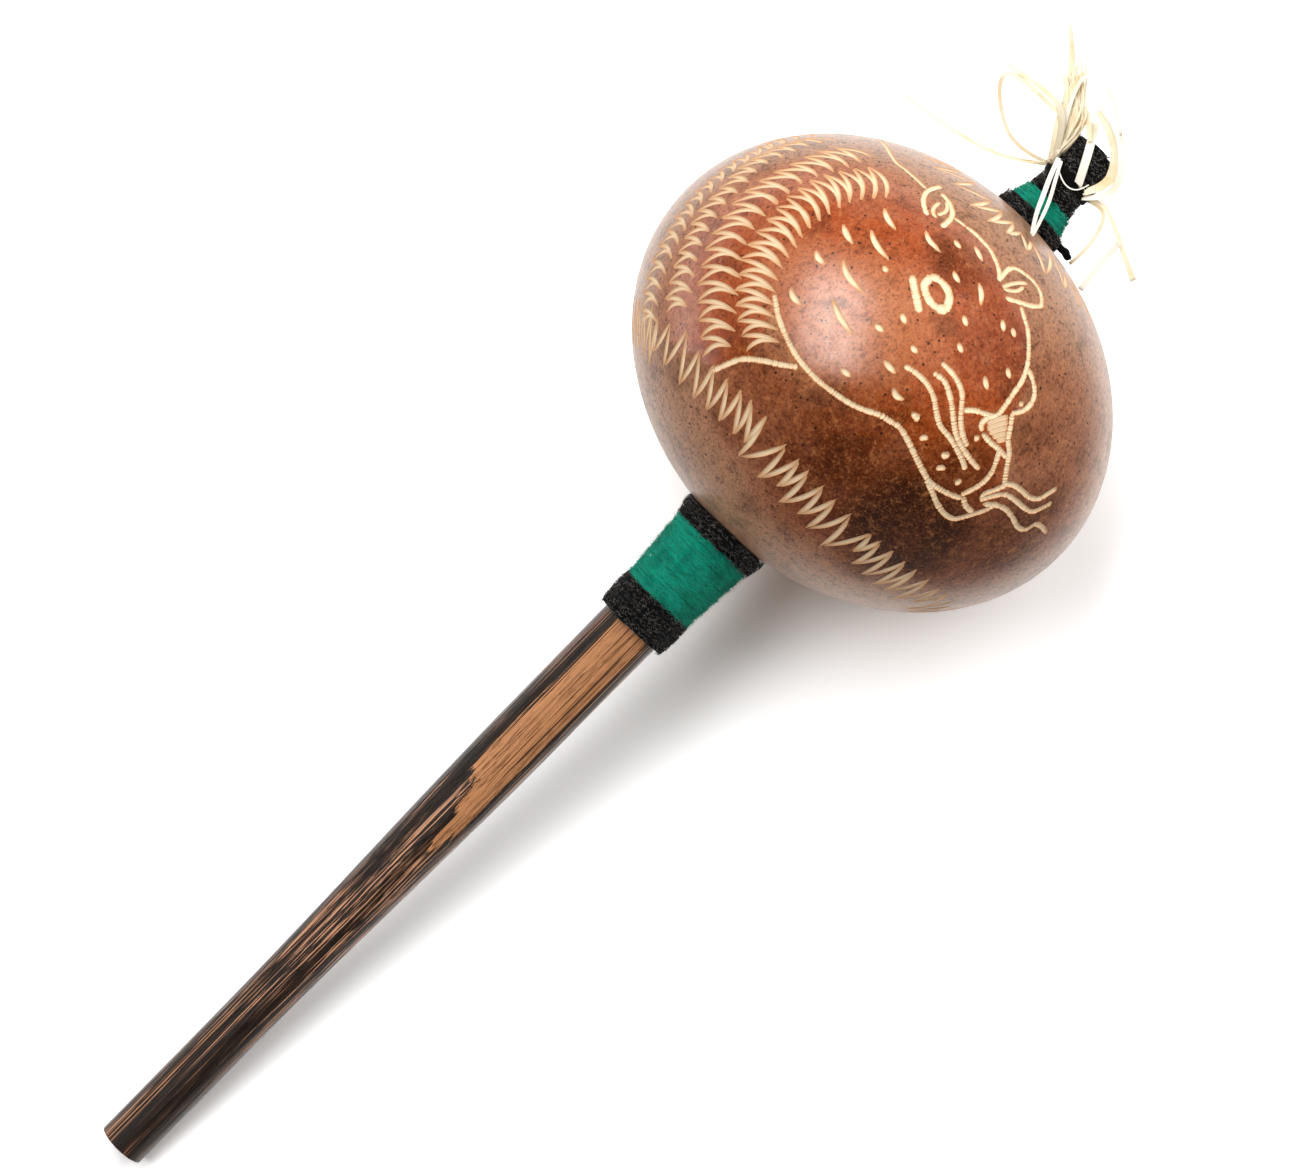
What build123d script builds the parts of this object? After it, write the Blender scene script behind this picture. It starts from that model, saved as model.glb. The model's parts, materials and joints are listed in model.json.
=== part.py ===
from build123d import *
import os
from math import asin, cos, pi, radians, sin, sqrt

# Gourd rattle lying on a table: a hollow gourd threaded on a palm-wood stick, bound with yarn
# below and above, with a raffia tassel tied at its tip and loose seeds inside.
# Lengths are in millimetres. Z = 0 is the table, X runs along the stick from handle to tip,
# and the origin is the middle of the small flat that the gourd rests on.
# A station is a distance along the stick from the gourd's middle, positive towards the tip.

# Gourd
gourd_diameter = 120.0
gourd_length = 98.7
gourd_wall = 3.5
gourd_offset = 1.3
rest_flat_depth = 0.5

# Stick
handle_length = 170.0
grip_length = 38.0
grip_diameter = 11.8
swell_length = 107.0
shoulder_diameter = 15.2
tip_diameter = 7.6
butt_chamfer = 0.6
shave_length = 70.0
shave_depth = 0.6

# Clearances
wrap_clearance = 0.15
hole_clearance = 0.3
seat_clearance = 0.3
yarn_clearance = 0.1

# Yarn and its packing below the gourd, from the handle upwards
yarn_diameter = 0.8
yarn_gap = 0.43
lower_black_width = 9.0
green_width = 18.0
neck_black_width = 4.5
packing_at_handle = 0.3
packing_below_green = 0.55
packing_above_green = 1.85
packing_at_gourd = 3.1

# Yarn and its packing above the gourd, from the gourd to the tip
base_black_width = 2.6
upper_green_width = 4.3
upper_black_width = 5.0
base_packing = 4.4
waist_packing = 0.8
yarn_tail = 6.0
yarn_tail_angle = 55.0
knob_diameter = 12.6
knob_length = 9.4
knob_bare_end = 1.0

# Raffia tassel
raffia_diameter = 0.95
tie_width = 3.4
strand_width = 1.3
strip_width = 2.2
strand_thickness = 0.5
strand_bend = 2.0
fold_bend = 1.2

# Seeds
seed_count = 10
seed_diameter = 6.4
seed_height = 6.0
seed_spacing = 5.2
seed_clearance = 0.35
seed_turn = 137.5

gourd_radius = gourd_diameter / 2
gourd_half = gourd_length / 2
grip_radius = grip_diameter / 2
shoulder_radius = shoulder_diameter / 2
tip_radius = tip_diameter / 2


def gourd_station(radius):
    """Return how far from its middle the gourd's surface crosses a given distance from its axis."""
    return gourd_half * sqrt(1 - (radius / gourd_radius) ** 2)


# Stations of the lower binding and the handle
lower_bore = shoulder_radius + wrap_clearance
neck_radius = lower_bore + packing_at_gourd + yarn_clearance + yarn_diameter
lower_top = -gourd_station(neck_radius) - seat_clearance
green_top = lower_top - neck_black_width
green_bottom = green_top - green_width
lower_bottom = green_bottom - lower_black_width
butt = lower_bottom - handle_length
swell_bottom = butt + grip_length
swell_top = swell_bottom + swell_length

# Stations of the upper binding and the knob
upper_bore = tip_radius + wrap_clearance
base_radius = upper_bore + base_packing
waist_radius = upper_bore + waist_packing
upper_bottom = gourd_station(base_radius + yarn_diameter) + seat_clearance
upper_green_bottom = upper_bottom + base_black_width
upper_green_top = upper_green_bottom + upper_green_width
waist = upper_green_top + upper_black_width
knob_foot = waist + tie_width
knob_skin = yarn_diameter + yarn_clearance
knob_radius = knob_diameter / 2 - knob_skin
knob_top = knob_foot + knob_length - knob_skin
knob_middle = knob_top - knob_radius
stick_end = knob_middle
skirt_reach = waist - upper_bottom
skirt_flare = base_radius - waist_radius
skirt_arc_radius = (skirt_flare**2 + skirt_reach**2) / (2 * skirt_flare)


def resting_tilt():
    """Return the stick's slope when the gourd's flat and the butt's lower rim both touch the table."""
    rim_station = -butt - butt_chamfer
    tilt = 0.0
    for _ in range(60):
        gourd_drop = sqrt((gourd_half * sin(tilt)) ** 2 + (gourd_radius * cos(tilt)) ** 2)
        tilt = asin((gourd_drop - rest_flat_depth - grip_radius * cos(tilt)) / rim_station)
    return tilt


tilt = resting_tilt()
gourd_drop = sqrt((gourd_half * sin(tilt)) ** 2 + (gourd_radius * cos(tilt)) ** 2)
middle_height = gourd_drop - rest_flat_depth
middle_x = -(gourd_radius**2 - gourd_half**2) * sin(tilt) * cos(tilt) / gourd_drop
stick_up = Vector(-sin(tilt), 0, cos(tilt))
stick_way = Vector(cos(tilt), 0, sin(tilt))

# Each frame has its Z along the stick and its X on the upper side of the stick
stick_frame = Plane(origin=(middle_x, -gourd_offset, middle_height), x_dir=stick_up, z_dir=stick_way)
gourd_frame = Plane(origin=(middle_x, 0, middle_height), x_dir=stick_up, z_dir=stick_way)


def profile_plane(frame):
    """Return the plane of a turned profile: its X is the radius and its Y the station."""
    return Plane(origin=frame.origin, x_dir=frame.x_dir, z_dir=frame.y_dir * -1)


stick_profile = profile_plane(stick_frame)
gourd_profile = profile_plane(gourd_frame)
stick_axis = Axis(stick_frame.origin, stick_frame.z_dir)
gourd_axis = Axis(gourd_frame.origin, gourd_frame.z_dir)


def handle_radius(station):
    """Return the stick's radius along its handle, where it swells smoothly from grip to shoulder."""
    share = min(max((station - swell_bottom) / swell_length, 0.0), 1.0)
    return grip_radius + (shoulder_radius - grip_radius) * share**2 * (3 - 2 * share)


def lower_packing_radius(station):
    """Return the radius of the packing under the lower binding."""
    stations = (lower_bottom, green_bottom, green_top, lower_top)
    depths = (packing_at_handle, packing_below_green, packing_above_green, packing_at_gourd)
    for start, end, low, high in zip(stations, stations[1:], depths, depths[1:]):
        if station <= end:
            return lower_bore + low + (high - low) * (station - start) / (end - start)
    return lower_bore + packing_at_gourd


def upper_packing_radius(station):
    """Return the radius of the packing under the upper binding, a skirt drawn in to a waist."""
    below = max(waist - station, 0.0)
    return waist_radius + skirt_arc_radius - sqrt(skirt_arc_radius**2 - below**2)


def knob_packing_radius(station):
    """Return the radius of the packing inside the knob."""
    return sqrt(knob_radius**2 - (station - knob_middle) ** 2)


def arc_meeting(start, start_way, end, end_way):
    """Return the point and direction where two smooth arcs meet between two directed points."""
    chord = end - start
    ways = start_way + end_way
    spread = 2 * (1 - start_way.dot(end_way))
    lean = chord.dot(ways)
    reach = (sqrt(lean**2 + spread * chord.dot(chord)) - lean) / spread
    first_corner = start + start_way * reach
    last_corner = end - end_way * reach
    return (first_corner + last_corner) * 0.5, (last_corner - first_corner).normalized()


def wind(label, radius_at, bottom, top, thread, end_angle=0.0, tail=0.0):
    """Wind one thread round the stick between two stations, on a surface of the given radius."""
    pitch = thread + yarn_gap
    first = bottom + pitch / 2
    last = top - pitch / 2
    quarters = int(4 * (last - first) / pitch)
    probe = 0.01
    fine_steps = 6

    def thread_point(quarter):
        """Return the thread's middle after a number of quarter turns."""
        station = first + (last - first) * quarter / quarters
        slope = (radius_at(station + probe) - radius_at(station - probe)) / (2 * probe)
        radius = radius_at(station) + (thread / 2 + yarn_clearance) * sqrt(1 + slope**2)
        angle = radians(end_angle) + (quarter - quarters) * pi / 2
        return stick_frame.from_local_coords(Vector(radius * cos(angle), radius * sin(angle), station))

    points = [thread_point(k) for k in range(quarters + 1)]
    ways = [(thread_point(k + probe) - thread_point(k - probe)).normalized() for k in range(quarters + 1)]
    fine = [thread_point(k / fine_steps) for k in range(fine_steps * quarters + 1)]
    half_turn = 2 * fine_steps
    spans = [(a - b).length for i, a in enumerate(fine) for b in fine[i + half_turn:]]
    print(f"{label}: {quarters / 4} turns, least gap to itself {min(spans) - thread:.2f} mm")

    with BuildPart() as winding:
        with BuildLine():
            Line(points[0] - ways[0] * thread, points[0])
            for k in range(quarters):
                middle, way = arc_meeting(points[k], ways[k], points[k + 1], ways[k + 1])
                TangentArc(points[k], middle, tangent=ways[k])
                TangentArc(middle, points[k + 1], tangent=way)
            Line(points[-1], points[-1] + ways[-1] * (thread + tail))
        with BuildSketch(Plane(origin=points[0] - ways[0] * thread, z_dir=ways[0])):
            Circle(thread / 2)
        sweep()
    finish(winding, label)


def finish(piece, label):
    """Label a finished piece and write it to its file."""
    piece.part.label = label
    export_step(piece.part, f"parts/{label}.step")


os.makedirs("parts", exist_ok=True)

# Gourd: a flattened ball with an even wall, two holes for the stick and a flat worn underneath
lower_hole_radius = shoulder_radius + hole_clearance
upper_hole_radius = tip_radius + hole_clearance
with BuildPart() as gourd_shell:
    with BuildSketch(gourd_profile):
        Ellipse(gourd_radius, gourd_half)
        Ellipse(gourd_radius - gourd_wall, gourd_half - gourd_wall, mode=Mode.SUBTRACT)
        Rectangle(gourd_radius, gourd_length, align=(Align.MIN, Align.CENTER), mode=Mode.INTERSECT)
    revolve(axis=gourd_axis)
    with BuildSketch(stick_frame):
        Circle(lower_hole_radius)
    extrude(amount=-gourd_length, mode=Mode.SUBTRACT)
    with BuildSketch(stick_frame):
        Circle(upper_hole_radius)
    extrude(amount=gourd_length, mode=Mode.SUBTRACT)
    split(bisect_by=Plane.XY, keep=Keep.TOP)
finish(gourd_shell, "gourd_shell")

# The space that the gourd takes up around the stick, with the clearance at which the bindings seat
with BuildPart() as gourd_seat:
    with BuildSketch(gourd_profile):
        Ellipse(gourd_radius + seat_clearance, gourd_half + seat_clearance)
        with Locations((tip_radius / 2, 0)):
            Rectangle(
                gourd_diameter,
                2 * gourd_length,
                align=(Align.MIN, Align.CENTER),
                mode=Mode.INTERSECT,
            )
    revolve(axis=gourd_axis)

# Stick: a plain grip that swells to a shoulder, then tapers inside the gourd to its tip
shave_start = lower_bottom - shave_length
shave_start_radius = handle_radius(shave_start)
shave_end_radius = shoulder_radius - shave_depth
with BuildPart() as palm_stick:
    with BuildSketch(stick_profile):
        with BuildLine():
            Polyline((grip_radius, swell_bottom), (grip_radius, butt), (0, butt), (0, stick_end))
            Polyline((0, stick_end), (tip_radius, stick_end), (tip_radius, gourd_half))
            Polyline((tip_radius, gourd_half), (shoulder_radius, -gourd_half), (shoulder_radius, swell_top))
            Bezier(
                (shoulder_radius, swell_top),
                (shoulder_radius, swell_top - swell_length / 3),
                (grip_radius, swell_bottom + swell_length / 3),
                (grip_radius, swell_bottom),
            )
        make_face()
    revolve(axis=stick_axis)
    chamfer(palm_stick.edges().filter_by(GeomType.CIRCLE).sort_by(stick_axis)[0], butt_chamfer)
    with BuildSketch(stick_profile):
        with BuildLine():
            Polyline(
                (shave_start_radius, shave_start),
                (shave_end_radius, lower_bottom),
                (shoulder_diameter, lower_bottom),
                (shoulder_diameter, shave_start),
                close=True,
            )
        make_face()
    extrude(amount=shoulder_diameter, both=True, mode=Mode.SUBTRACT)
finish(palm_stick, "palm_stick")

# Packing under the lower binding, cut to sit against the gourd
with BuildPart() as lower_packing:
    with BuildSketch(stick_profile):
        with BuildLine():
            Polyline(
                (lower_bore, lower_bottom),
                (lower_bore + packing_at_handle, lower_bottom),
                (lower_bore + packing_below_green, green_bottom),
                (lower_bore + packing_above_green, green_top),
                (lower_bore + packing_at_gourd, lower_top),
                (lower_bore + packing_at_gourd, -gourd_half + gourd_wall),
                (lower_bore, -gourd_half + gourd_wall),
                close=True,
            )
        make_face()
    revolve(axis=stick_axis)
    add(gourd_seat.part, mode=Mode.SUBTRACT)
finish(lower_packing, "lower_packing")

# Packing under the upper binding: a hollow-sided skirt and a plain waist for the raffia tie
with BuildPart() as upper_packing:
    with BuildSketch(stick_profile):
        with BuildLine():
            Polyline((waist_radius, waist), (waist_radius, knob_foot), (upper_bore, knob_foot))
            Polyline((upper_bore, knob_foot), (upper_bore, gourd_half - gourd_wall))
            Polyline(
                (upper_bore, gourd_half - gourd_wall),
                (base_radius, gourd_half - gourd_wall),
                (base_radius, upper_bottom),
            )
            RadiusArc((base_radius, upper_bottom), (waist_radius, waist), skirt_arc_radius)
        make_face()
    revolve(axis=stick_axis)
    add(gourd_seat.part, mode=Mode.SUBTRACT)
finish(upper_packing, "upper_packing")

# Packing inside the knob, capping the stick's end
with BuildPart(stick_frame.offset(knob_middle)) as knob_packing:
    Sphere(knob_radius)
    split(bisect_by=stick_frame.offset(knob_foot), keep=Keep.TOP)
    with BuildSketch(stick_frame.offset(knob_foot)):
        Circle(upper_bore)
    extrude(amount=stick_end - knob_foot + wrap_clearance, mode=Mode.SUBTRACT)
finish(knob_packing, "knob_packing")

# Yarn, each colour one unbroken winding, and the raffia tie round the waist
wind("lower_black_yarn", lower_packing_radius, lower_bottom, green_bottom, yarn_diameter)
wind("green_yarn", lower_packing_radius, green_bottom, green_top, yarn_diameter)
wind("neck_black_yarn", lower_packing_radius, green_top, lower_top, yarn_diameter)
wind(
    "base_black_yarn",
    upper_packing_radius,
    upper_bottom,
    upper_green_bottom,
    yarn_diameter,
    yarn_tail_angle,
    yarn_tail,
)
wind("upper_green_yarn", upper_packing_radius, upper_green_bottom, upper_green_top, yarn_diameter)
wind("upper_black_yarn", upper_packing_radius, upper_green_top, waist, yarn_diameter)
wind("raffia_tie", upper_packing_radius, waist, knob_foot, raffia_diameter)
wind("knob_black_yarn", knob_packing_radius, knob_foot, knob_top - knob_bare_end, yarn_diameter)

# Raffia: each route runs outwards from the tie, by distance along the stick, to the far side and up
tie_middle = waist + tie_width / 2
top_strand = ((0, 5.6, 2.6), (6.1, 8.4, 4.0), (13.6, 13.0, 6.0), (19.9, 17.5, 8.0), (24.9, 23.3, 10.0))
second_strand = ((0, 4.75, 3.95), (5.4, 7.0, 9.0), (9.9, 11.0, 12.5), (9.6, 17.2, 15.0), (8.0, 25.7, 16.0))
side_loop = (
    (0, 6.1, 0.85),
    (-3.8, 13.1, 6.0),
    (0.7, 22.2, 10.0),
    (6.0, 26.6, 12.0),
    (8.8, 23.0, 12.2),
    (8.6, 9.8, 9.0),
)
long_fibre = ((0, 6.1, -0.95), (-4.2, 10.8, 2.0), (-8.2, 17.8, 5.0), (-10.9, 29.2, 8.0), (-12.2, 39.1, 9.0))
arched_strand = (
    (0, 1.3, 6.1),
    (6.9, 3.5, 9.0),
    (13.4, 9.0, 10.5),
    (18.9, 12.5, 11.0),
    (20.9, 9.0, 10.5),
    (18.9, 3.5, 9.0),
    (14.9, -2.5, 7.5),
)
hooked_strand = ((0, -4.8, 3.95), (4.3, -7.8, 3.8), (9.9, -6.0, 4.6), (14.3, -0.5, 5.8), (15.2, 5.5, 6.0))
right_strand = (
    (0, -5.8, 2.15),
    (1.8, -9.5, 2.0),
    (-0.3, -15.4, 1.0),
    (-3.6, -21.4, -1.0),
    (-5.8, -26.3, -3.0),
)
drooping_strand = (
    (0, -6.1, -1.1),
    (1.6, -10.7, -1.0),
    (-3.0, -12.9, -2.0),
    (-8.8, -13.7, -3.0),
    (-12.9, -13.0, -4.0),
)
folded_strip = (
    (0, 3.2, 5.3),
    (-4.5, 1.6, 7.2),
    (-12.0, -2.0, 11.0),
    (-15.2, -5.0, 21.0),
    (-16.2, -7.0, 24.5),
    (-15.2, -8.8, 21.0),
    (-12.0, -5.5, 11.0),
    (-4.5, -1.6, 7.2),
    (0, -1.0, 6.95),
)
knob_strip = ((0, -3.2, 5.3), (4.9, -1.0, 7.4), (10.4, 2.2, 5.8), (13.4, 4.5, 3.0))
raffia = (
    ("raffia_top_strand", top_strand, strand_width, strand_bend),
    ("raffia_second_strand", second_strand, strand_width, strand_bend),
    ("raffia_side_loop", side_loop, strand_width, strand_bend),
    ("raffia_long_fibre", long_fibre, strand_width, strand_bend),
    ("raffia_arched_strand", arched_strand, strand_width, strand_bend),
    ("raffia_hooked_strand", hooked_strand, strand_width, strand_bend),
    ("raffia_right_strand", right_strand, strand_width, strand_bend),
    ("raffia_drooping_strand", drooping_strand, strand_width, strand_bend),
    ("raffia_folded_strip", folded_strip, strip_width, fold_bend),
    ("raffia_knob_strip", knob_strip, strip_width, strand_bend),
)
for label, route, width, bend in raffia:
    corners = [
        stick_frame.from_local_coords(Vector(up, -side, tie_middle + along)) for along, side, up in route
    ]
    first_run = corners[1] - corners[0]
    _, first_side, first_up = route[0]
    outward = stick_frame.from_local_coords(Vector(first_up, -first_side, 0)) - stick_frame.origin
    flat_on_tie = Plane(origin=corners[0], x_dir=outward.cross(first_run), z_dir=first_run)
    with BuildPart() as strand:
        with BuildLine():
            FilletPolyline(*corners, radius=bend)
        with BuildSketch(flat_on_tie):
            Rectangle(width, strand_thickness)
        sweep()
    finish(strand, label)


def hollow_heights(x, y, margin):
    """Return the lowest and highest Z over a point that keep a margin to the gourd's inner wall."""
    half = gourd_half - gourd_wall - margin
    radius = gourd_radius - gourd_wall - margin
    run = x - middle_x
    rise = (sin(tilt) / half) ** 2 + (cos(tilt) / radius) ** 2
    cross = run * sin(tilt) * cos(tilt) * (1 / half**2 - 1 / radius**2)
    level = run**2 * ((cos(tilt) / half) ** 2 + (sin(tilt) / radius) ** 2) + (y / radius) ** 2 - 1
    spread = sqrt(cross**2 - rise * level)
    return middle_height + (-cross - spread) / rise, middle_height + (-cross + spread) / rise


def height_under_stick(x, y, margin):
    """Return the highest Z over a point that keeps a margin to the stick, if the stick is in the way."""
    run = x - middle_x
    station = run / cos(tilt) - margin
    share = (station + gourd_half) / gourd_length
    reach = shoulder_radius + (tip_radius - shoulder_radius) * share + margin
    off = y + gourd_offset
    if abs(off) >= reach:
        return None
    return middle_height + run * sin(tilt) / cos(tilt) - sqrt(reach**2 - off**2) / cos(tilt)


# Seeds: loose in the hollow, lying apart on its lowest part, each free to fly up to what is above it
seed_margin = seed_diameter / 2 + seed_clearance
seed_travel = {}
for k in range(seed_count):
    label = f"seed_{k + 1:02d}"
    reach = seed_spacing * sqrt(k + 0.5)
    x = reach * cos(radians(k * seed_turn))
    y = reach * sin(radians(k * seed_turn))
    lowest, highest = hollow_heights(x, y, seed_margin)
    stopped_at = height_under_stick(x, y, seed_margin)
    if stopped_at is not None:
        highest = stopped_at
    seed_travel[label] = highest - lowest
    print(f"{label}: free height {seed_travel[label]:.2f} mm")
    with BuildPart(Plane.XY.move(Location((x, y, lowest)))) as seed:
        Sphere(seed_diameter / 2)
        split(bisect_by=Plane.XY.offset(lowest + seed_height - seed_diameter / 2), keep=Keep.BOTTOM)
    finish(seed, label)
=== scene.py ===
import json
import logging
import math
import random
from collections.abc import Callable, Sequence
from dataclasses import dataclass, field
from enum import Enum

import bmesh
import bpy
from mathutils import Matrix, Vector


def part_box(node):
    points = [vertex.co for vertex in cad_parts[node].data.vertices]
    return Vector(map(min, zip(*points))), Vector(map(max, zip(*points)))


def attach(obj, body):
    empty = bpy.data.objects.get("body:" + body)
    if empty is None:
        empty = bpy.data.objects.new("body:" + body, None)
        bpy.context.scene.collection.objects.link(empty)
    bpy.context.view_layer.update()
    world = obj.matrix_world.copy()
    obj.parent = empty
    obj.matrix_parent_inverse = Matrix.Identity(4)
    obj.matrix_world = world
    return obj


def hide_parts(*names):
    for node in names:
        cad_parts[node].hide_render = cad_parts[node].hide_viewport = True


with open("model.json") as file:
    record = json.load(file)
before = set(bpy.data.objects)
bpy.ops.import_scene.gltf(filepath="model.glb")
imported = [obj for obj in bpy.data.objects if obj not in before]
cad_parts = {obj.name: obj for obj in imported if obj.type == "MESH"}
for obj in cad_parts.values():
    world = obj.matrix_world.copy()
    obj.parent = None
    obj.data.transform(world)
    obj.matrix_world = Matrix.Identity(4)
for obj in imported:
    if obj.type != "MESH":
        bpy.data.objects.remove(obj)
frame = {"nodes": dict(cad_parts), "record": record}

MM = 0.001
ROOT_BODY = "rattle"
CURVE_WELD = 0.0001 * MM
SPIN_WELD = 0.001 * MM
PLIES = 3
PLY_DEPTH = 0.2
RIBBON_THICKNESS = 0.16
RIBBON_CURL = 0.22

Colour = tuple[float, float, float, float]
Pixel = tuple[float, float]
Marks = tuple[Pixel, ...]
Pool = tuple[Pixel, float, float]
Socket = bpy.types.NodeSocket
Value = float | Socket
Tint = Colour | Socket

log = logging.getLogger("rattle")


def screen(red: int, green: int, blue: int) -> Colour:
    """Turn a colour as a screen shows it into the linear values that shaders take.

    Args:
        red, green, blue: The colour, each from 0 to 255.

    Returns:
        The linear colour with full opacity.
    """
    shares = [value / 255 for value in (red, green, blue)]
    linear = [s / 12.92 if s <= 0.04045 else ((s + 0.055) / 1.055) ** 2.4 for s in shares]
    return (*linear, 1.0)


def ease(share: float) -> float:
    """Return a share from 0 to 1 with soft ends."""
    share = min(max(share, 0.0), 1.0)
    return share * share * (3 - 2 * share)


def radius_at(profile: Sequence[tuple[float, float]], station: float) -> float:
    """Return a measured radius between the slices of a profile.

    Args:
        profile: A station and a radius, slice by slice.
        station: Where the radius is wanted.

    Returns:
        The radius.
    """
    for (a, first), (b, second) in zip(profile, profile[1:]):
        if station <= b:
            return first + (second - first) * min(max((station - a) / (b - a), 0), 1)
    return profile[-1][1]


def put(name: str, data: bpy.types.ID) -> bpy.types.Object:
    """Add an object to the scene.

    Args:
        name: Its name.
        data: Its mesh, curve, light or camera data.

    Returns:
        The object.
    """
    made = bpy.data.objects.new(name, data)
    bpy.context.scene.collection.objects.link(made)
    return made


@dataclass(frozen=True)
class StickLine:
    """The stick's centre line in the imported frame, with station zero at the gourd's middle.

    Attributes:
        origin: The point at station zero.
        way: Direction from the handle to the tip.
        up: Direction square to the stick in the upright plane.
        side: Direction to the far side, across the stick.
    """

    origin: Vector
    way: Vector
    up: Vector
    side: Vector

    @classmethod
    def measured(cls) -> "StickLine":
        """Find the line from the grip mount and the gourd's box.

        Returns:
            The line.
        """
        grip = next(mount for mount in frame["record"]["mounts"] if mount["name"] == "handle_grip")
        way = -Vector(grip["axis"]).normalized()
        on_line = Vector(grip["pos_m"])
        low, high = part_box("gourd_shell")
        origin = on_line + way * (((low.x + high.x) / 2 - on_line.x) / way.x)
        return cls(origin, way, Vector((-way.z, 0, way.x)), Vector((0, 1, 0)))

    def at(self, station: float, sideways: float, upwards: float) -> Vector:
        """Return the point at a station, off the line by two distances."""
        return self.origin + self.way * station + self.side * sideways + self.up * upwards

    def around(self, station: float, angle: float, radius: float) -> Vector:
        """Return the point at a station and radius, turned from the top towards the far side."""
        return self.at(station, math.sin(angle) * radius, math.cos(angle) * radius)

    def read(self, point: Vector) -> tuple[float, float, float]:
        """Return a point's station and its distances sideways and upwards off the line."""
        away = point - self.origin
        return away.dot(self.way), away.dot(self.side), away.dot(self.up)

    def profile(self, node: str, slices: int, limit: float = math.inf) -> list[tuple[float, float]]:
        """Measure a CAD node's outer radius along the stick.

        Args:
            node: The CAD node's name.
            slices: Into how many equal lengths it is divided.
            limit: The radius past which it isn't counted.

        Returns:
            A station and the largest radius there, slice by slice.
        """
        spots = []
        for vertex in frame["nodes"][node].data.vertices:
            station, sideways, upwards = self.read(vertex.co)
            if math.hypot(sideways, upwards) <= limit:
                spots.append((station, math.hypot(sideways, upwards)))
        low = min(spot[0] for spot in spots)
        length = max(spot[0] for spot in spots) - low
        rows: list[list[float]] = [[] for _ in range(slices)]
        for station, radius in spots:
            rows[min(int((station - low) / length * slices), slices - 1)].append(radius)
        return [(low + (k + 0.5) / slices * length, max(row)) for k, row in enumerate(rows) if row]

    def span(self, node: str) -> tuple[float, float]:
        """Return a CAD node's lowest and highest station."""
        stations = [self.read(vertex.co)[0] for vertex in frame["nodes"][node].data.vertices]
        return min(stations), max(stations)


@dataclass(frozen=True)
class GourdSurface:
    """The gourd's outer surface, an ellipsoid round an axis beside the stick's line.

    Attributes:
        line: The stick's line, whose directions the gourd shares.
        centre: The ellipsoid's middle.
        half: Half its length along the stick.
        radius: Its radius across the stick.
    """

    line: StickLine
    centre: Vector
    half: float
    radius: float

    @classmethod
    def measured(cls, line: StickLine) -> "GourdSurface":
        """Find the ellipsoid from the CAD shell's box.

        Args:
            line: The stick's line.

        Returns:
            The surface.
        """
        low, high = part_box("gourd_shell")
        radius = (high.y - low.y) / 2
        reach = (high.x - low.x) / 2
        half = math.sqrt(reach**2 - (radius * line.way.z) ** 2) / line.way.x
        return cls(line, Vector((line.origin.x, (low.y + high.y) / 2, line.origin.z)), half, radius)

    def unit(self, direction: Vector) -> Vector:
        """Scale a direction into the space where the gourd is a ball of radius one.

        Args:
            direction: The direction.

        Returns:
            The scaled direction.
        """
        line = self.line
        along, aside, above = (direction.dot(way) for way in (line.way, line.side, line.up))
        return Vector((along / self.half, aside / self.radius, above / self.radius))

    def slope(self, point: Vector) -> Vector:
        """Return the outward gradient of the ellipsoid's equation.

        Args:
            point: A point.

        Returns:
            The gradient there.
        """
        away = point - self.centre
        along = self.line.way * away.dot(self.line.way)
        return along / self.half**2 + (away - along) / self.radius**2

    def normal(self, point: Vector) -> Vector:
        """Return the outward normal at a point."""
        return self.slope(point).normalized()

    def settle(self, point: Vector) -> Vector:
        """Move a nearby point onto the surface.

        Args:
            point: A point close to the surface.

        Returns:
            The surface point beside it.
        """
        steps = 4
        for _ in range(steps):
            slope = self.slope(point)
            excess = self.unit(point - self.centre).length_squared - 1
            point = point - slope * (excess / (2 * slope.length_squared))
        return point

    def place(self, station: float, angle: float) -> Vector:
        """Return a point of the surface.

        Args:
            station: Its station.
            angle: Its turn from the top towards the far side.

        Returns:
            The surface point.
        """
        radius = self.radius * math.sqrt(max(1 - (station / self.half) ** 2, 0))
        across = self.line.side * math.sin(angle) + self.line.up * math.cos(angle)
        return self.centre + self.line.way * station + across * radius

    def hit(self, start: Vector, direction: Vector) -> Vector:
        """Follow a ray to the surface.

        Args:
            start: Where it starts.
            direction: Its direction.

        Returns:
            Where it first meets the surface, or the surface point that it passes closest to.
        """
        begin, step = self.unit(start - self.centre), self.unit(direction)
        a, b, c = step.length_squared, begin.dot(step), begin.length_squared - 1
        run = (-b - math.sqrt(max(b * b - a * c, 0))) / a
        return self.settle(start + direction * run)


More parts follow.
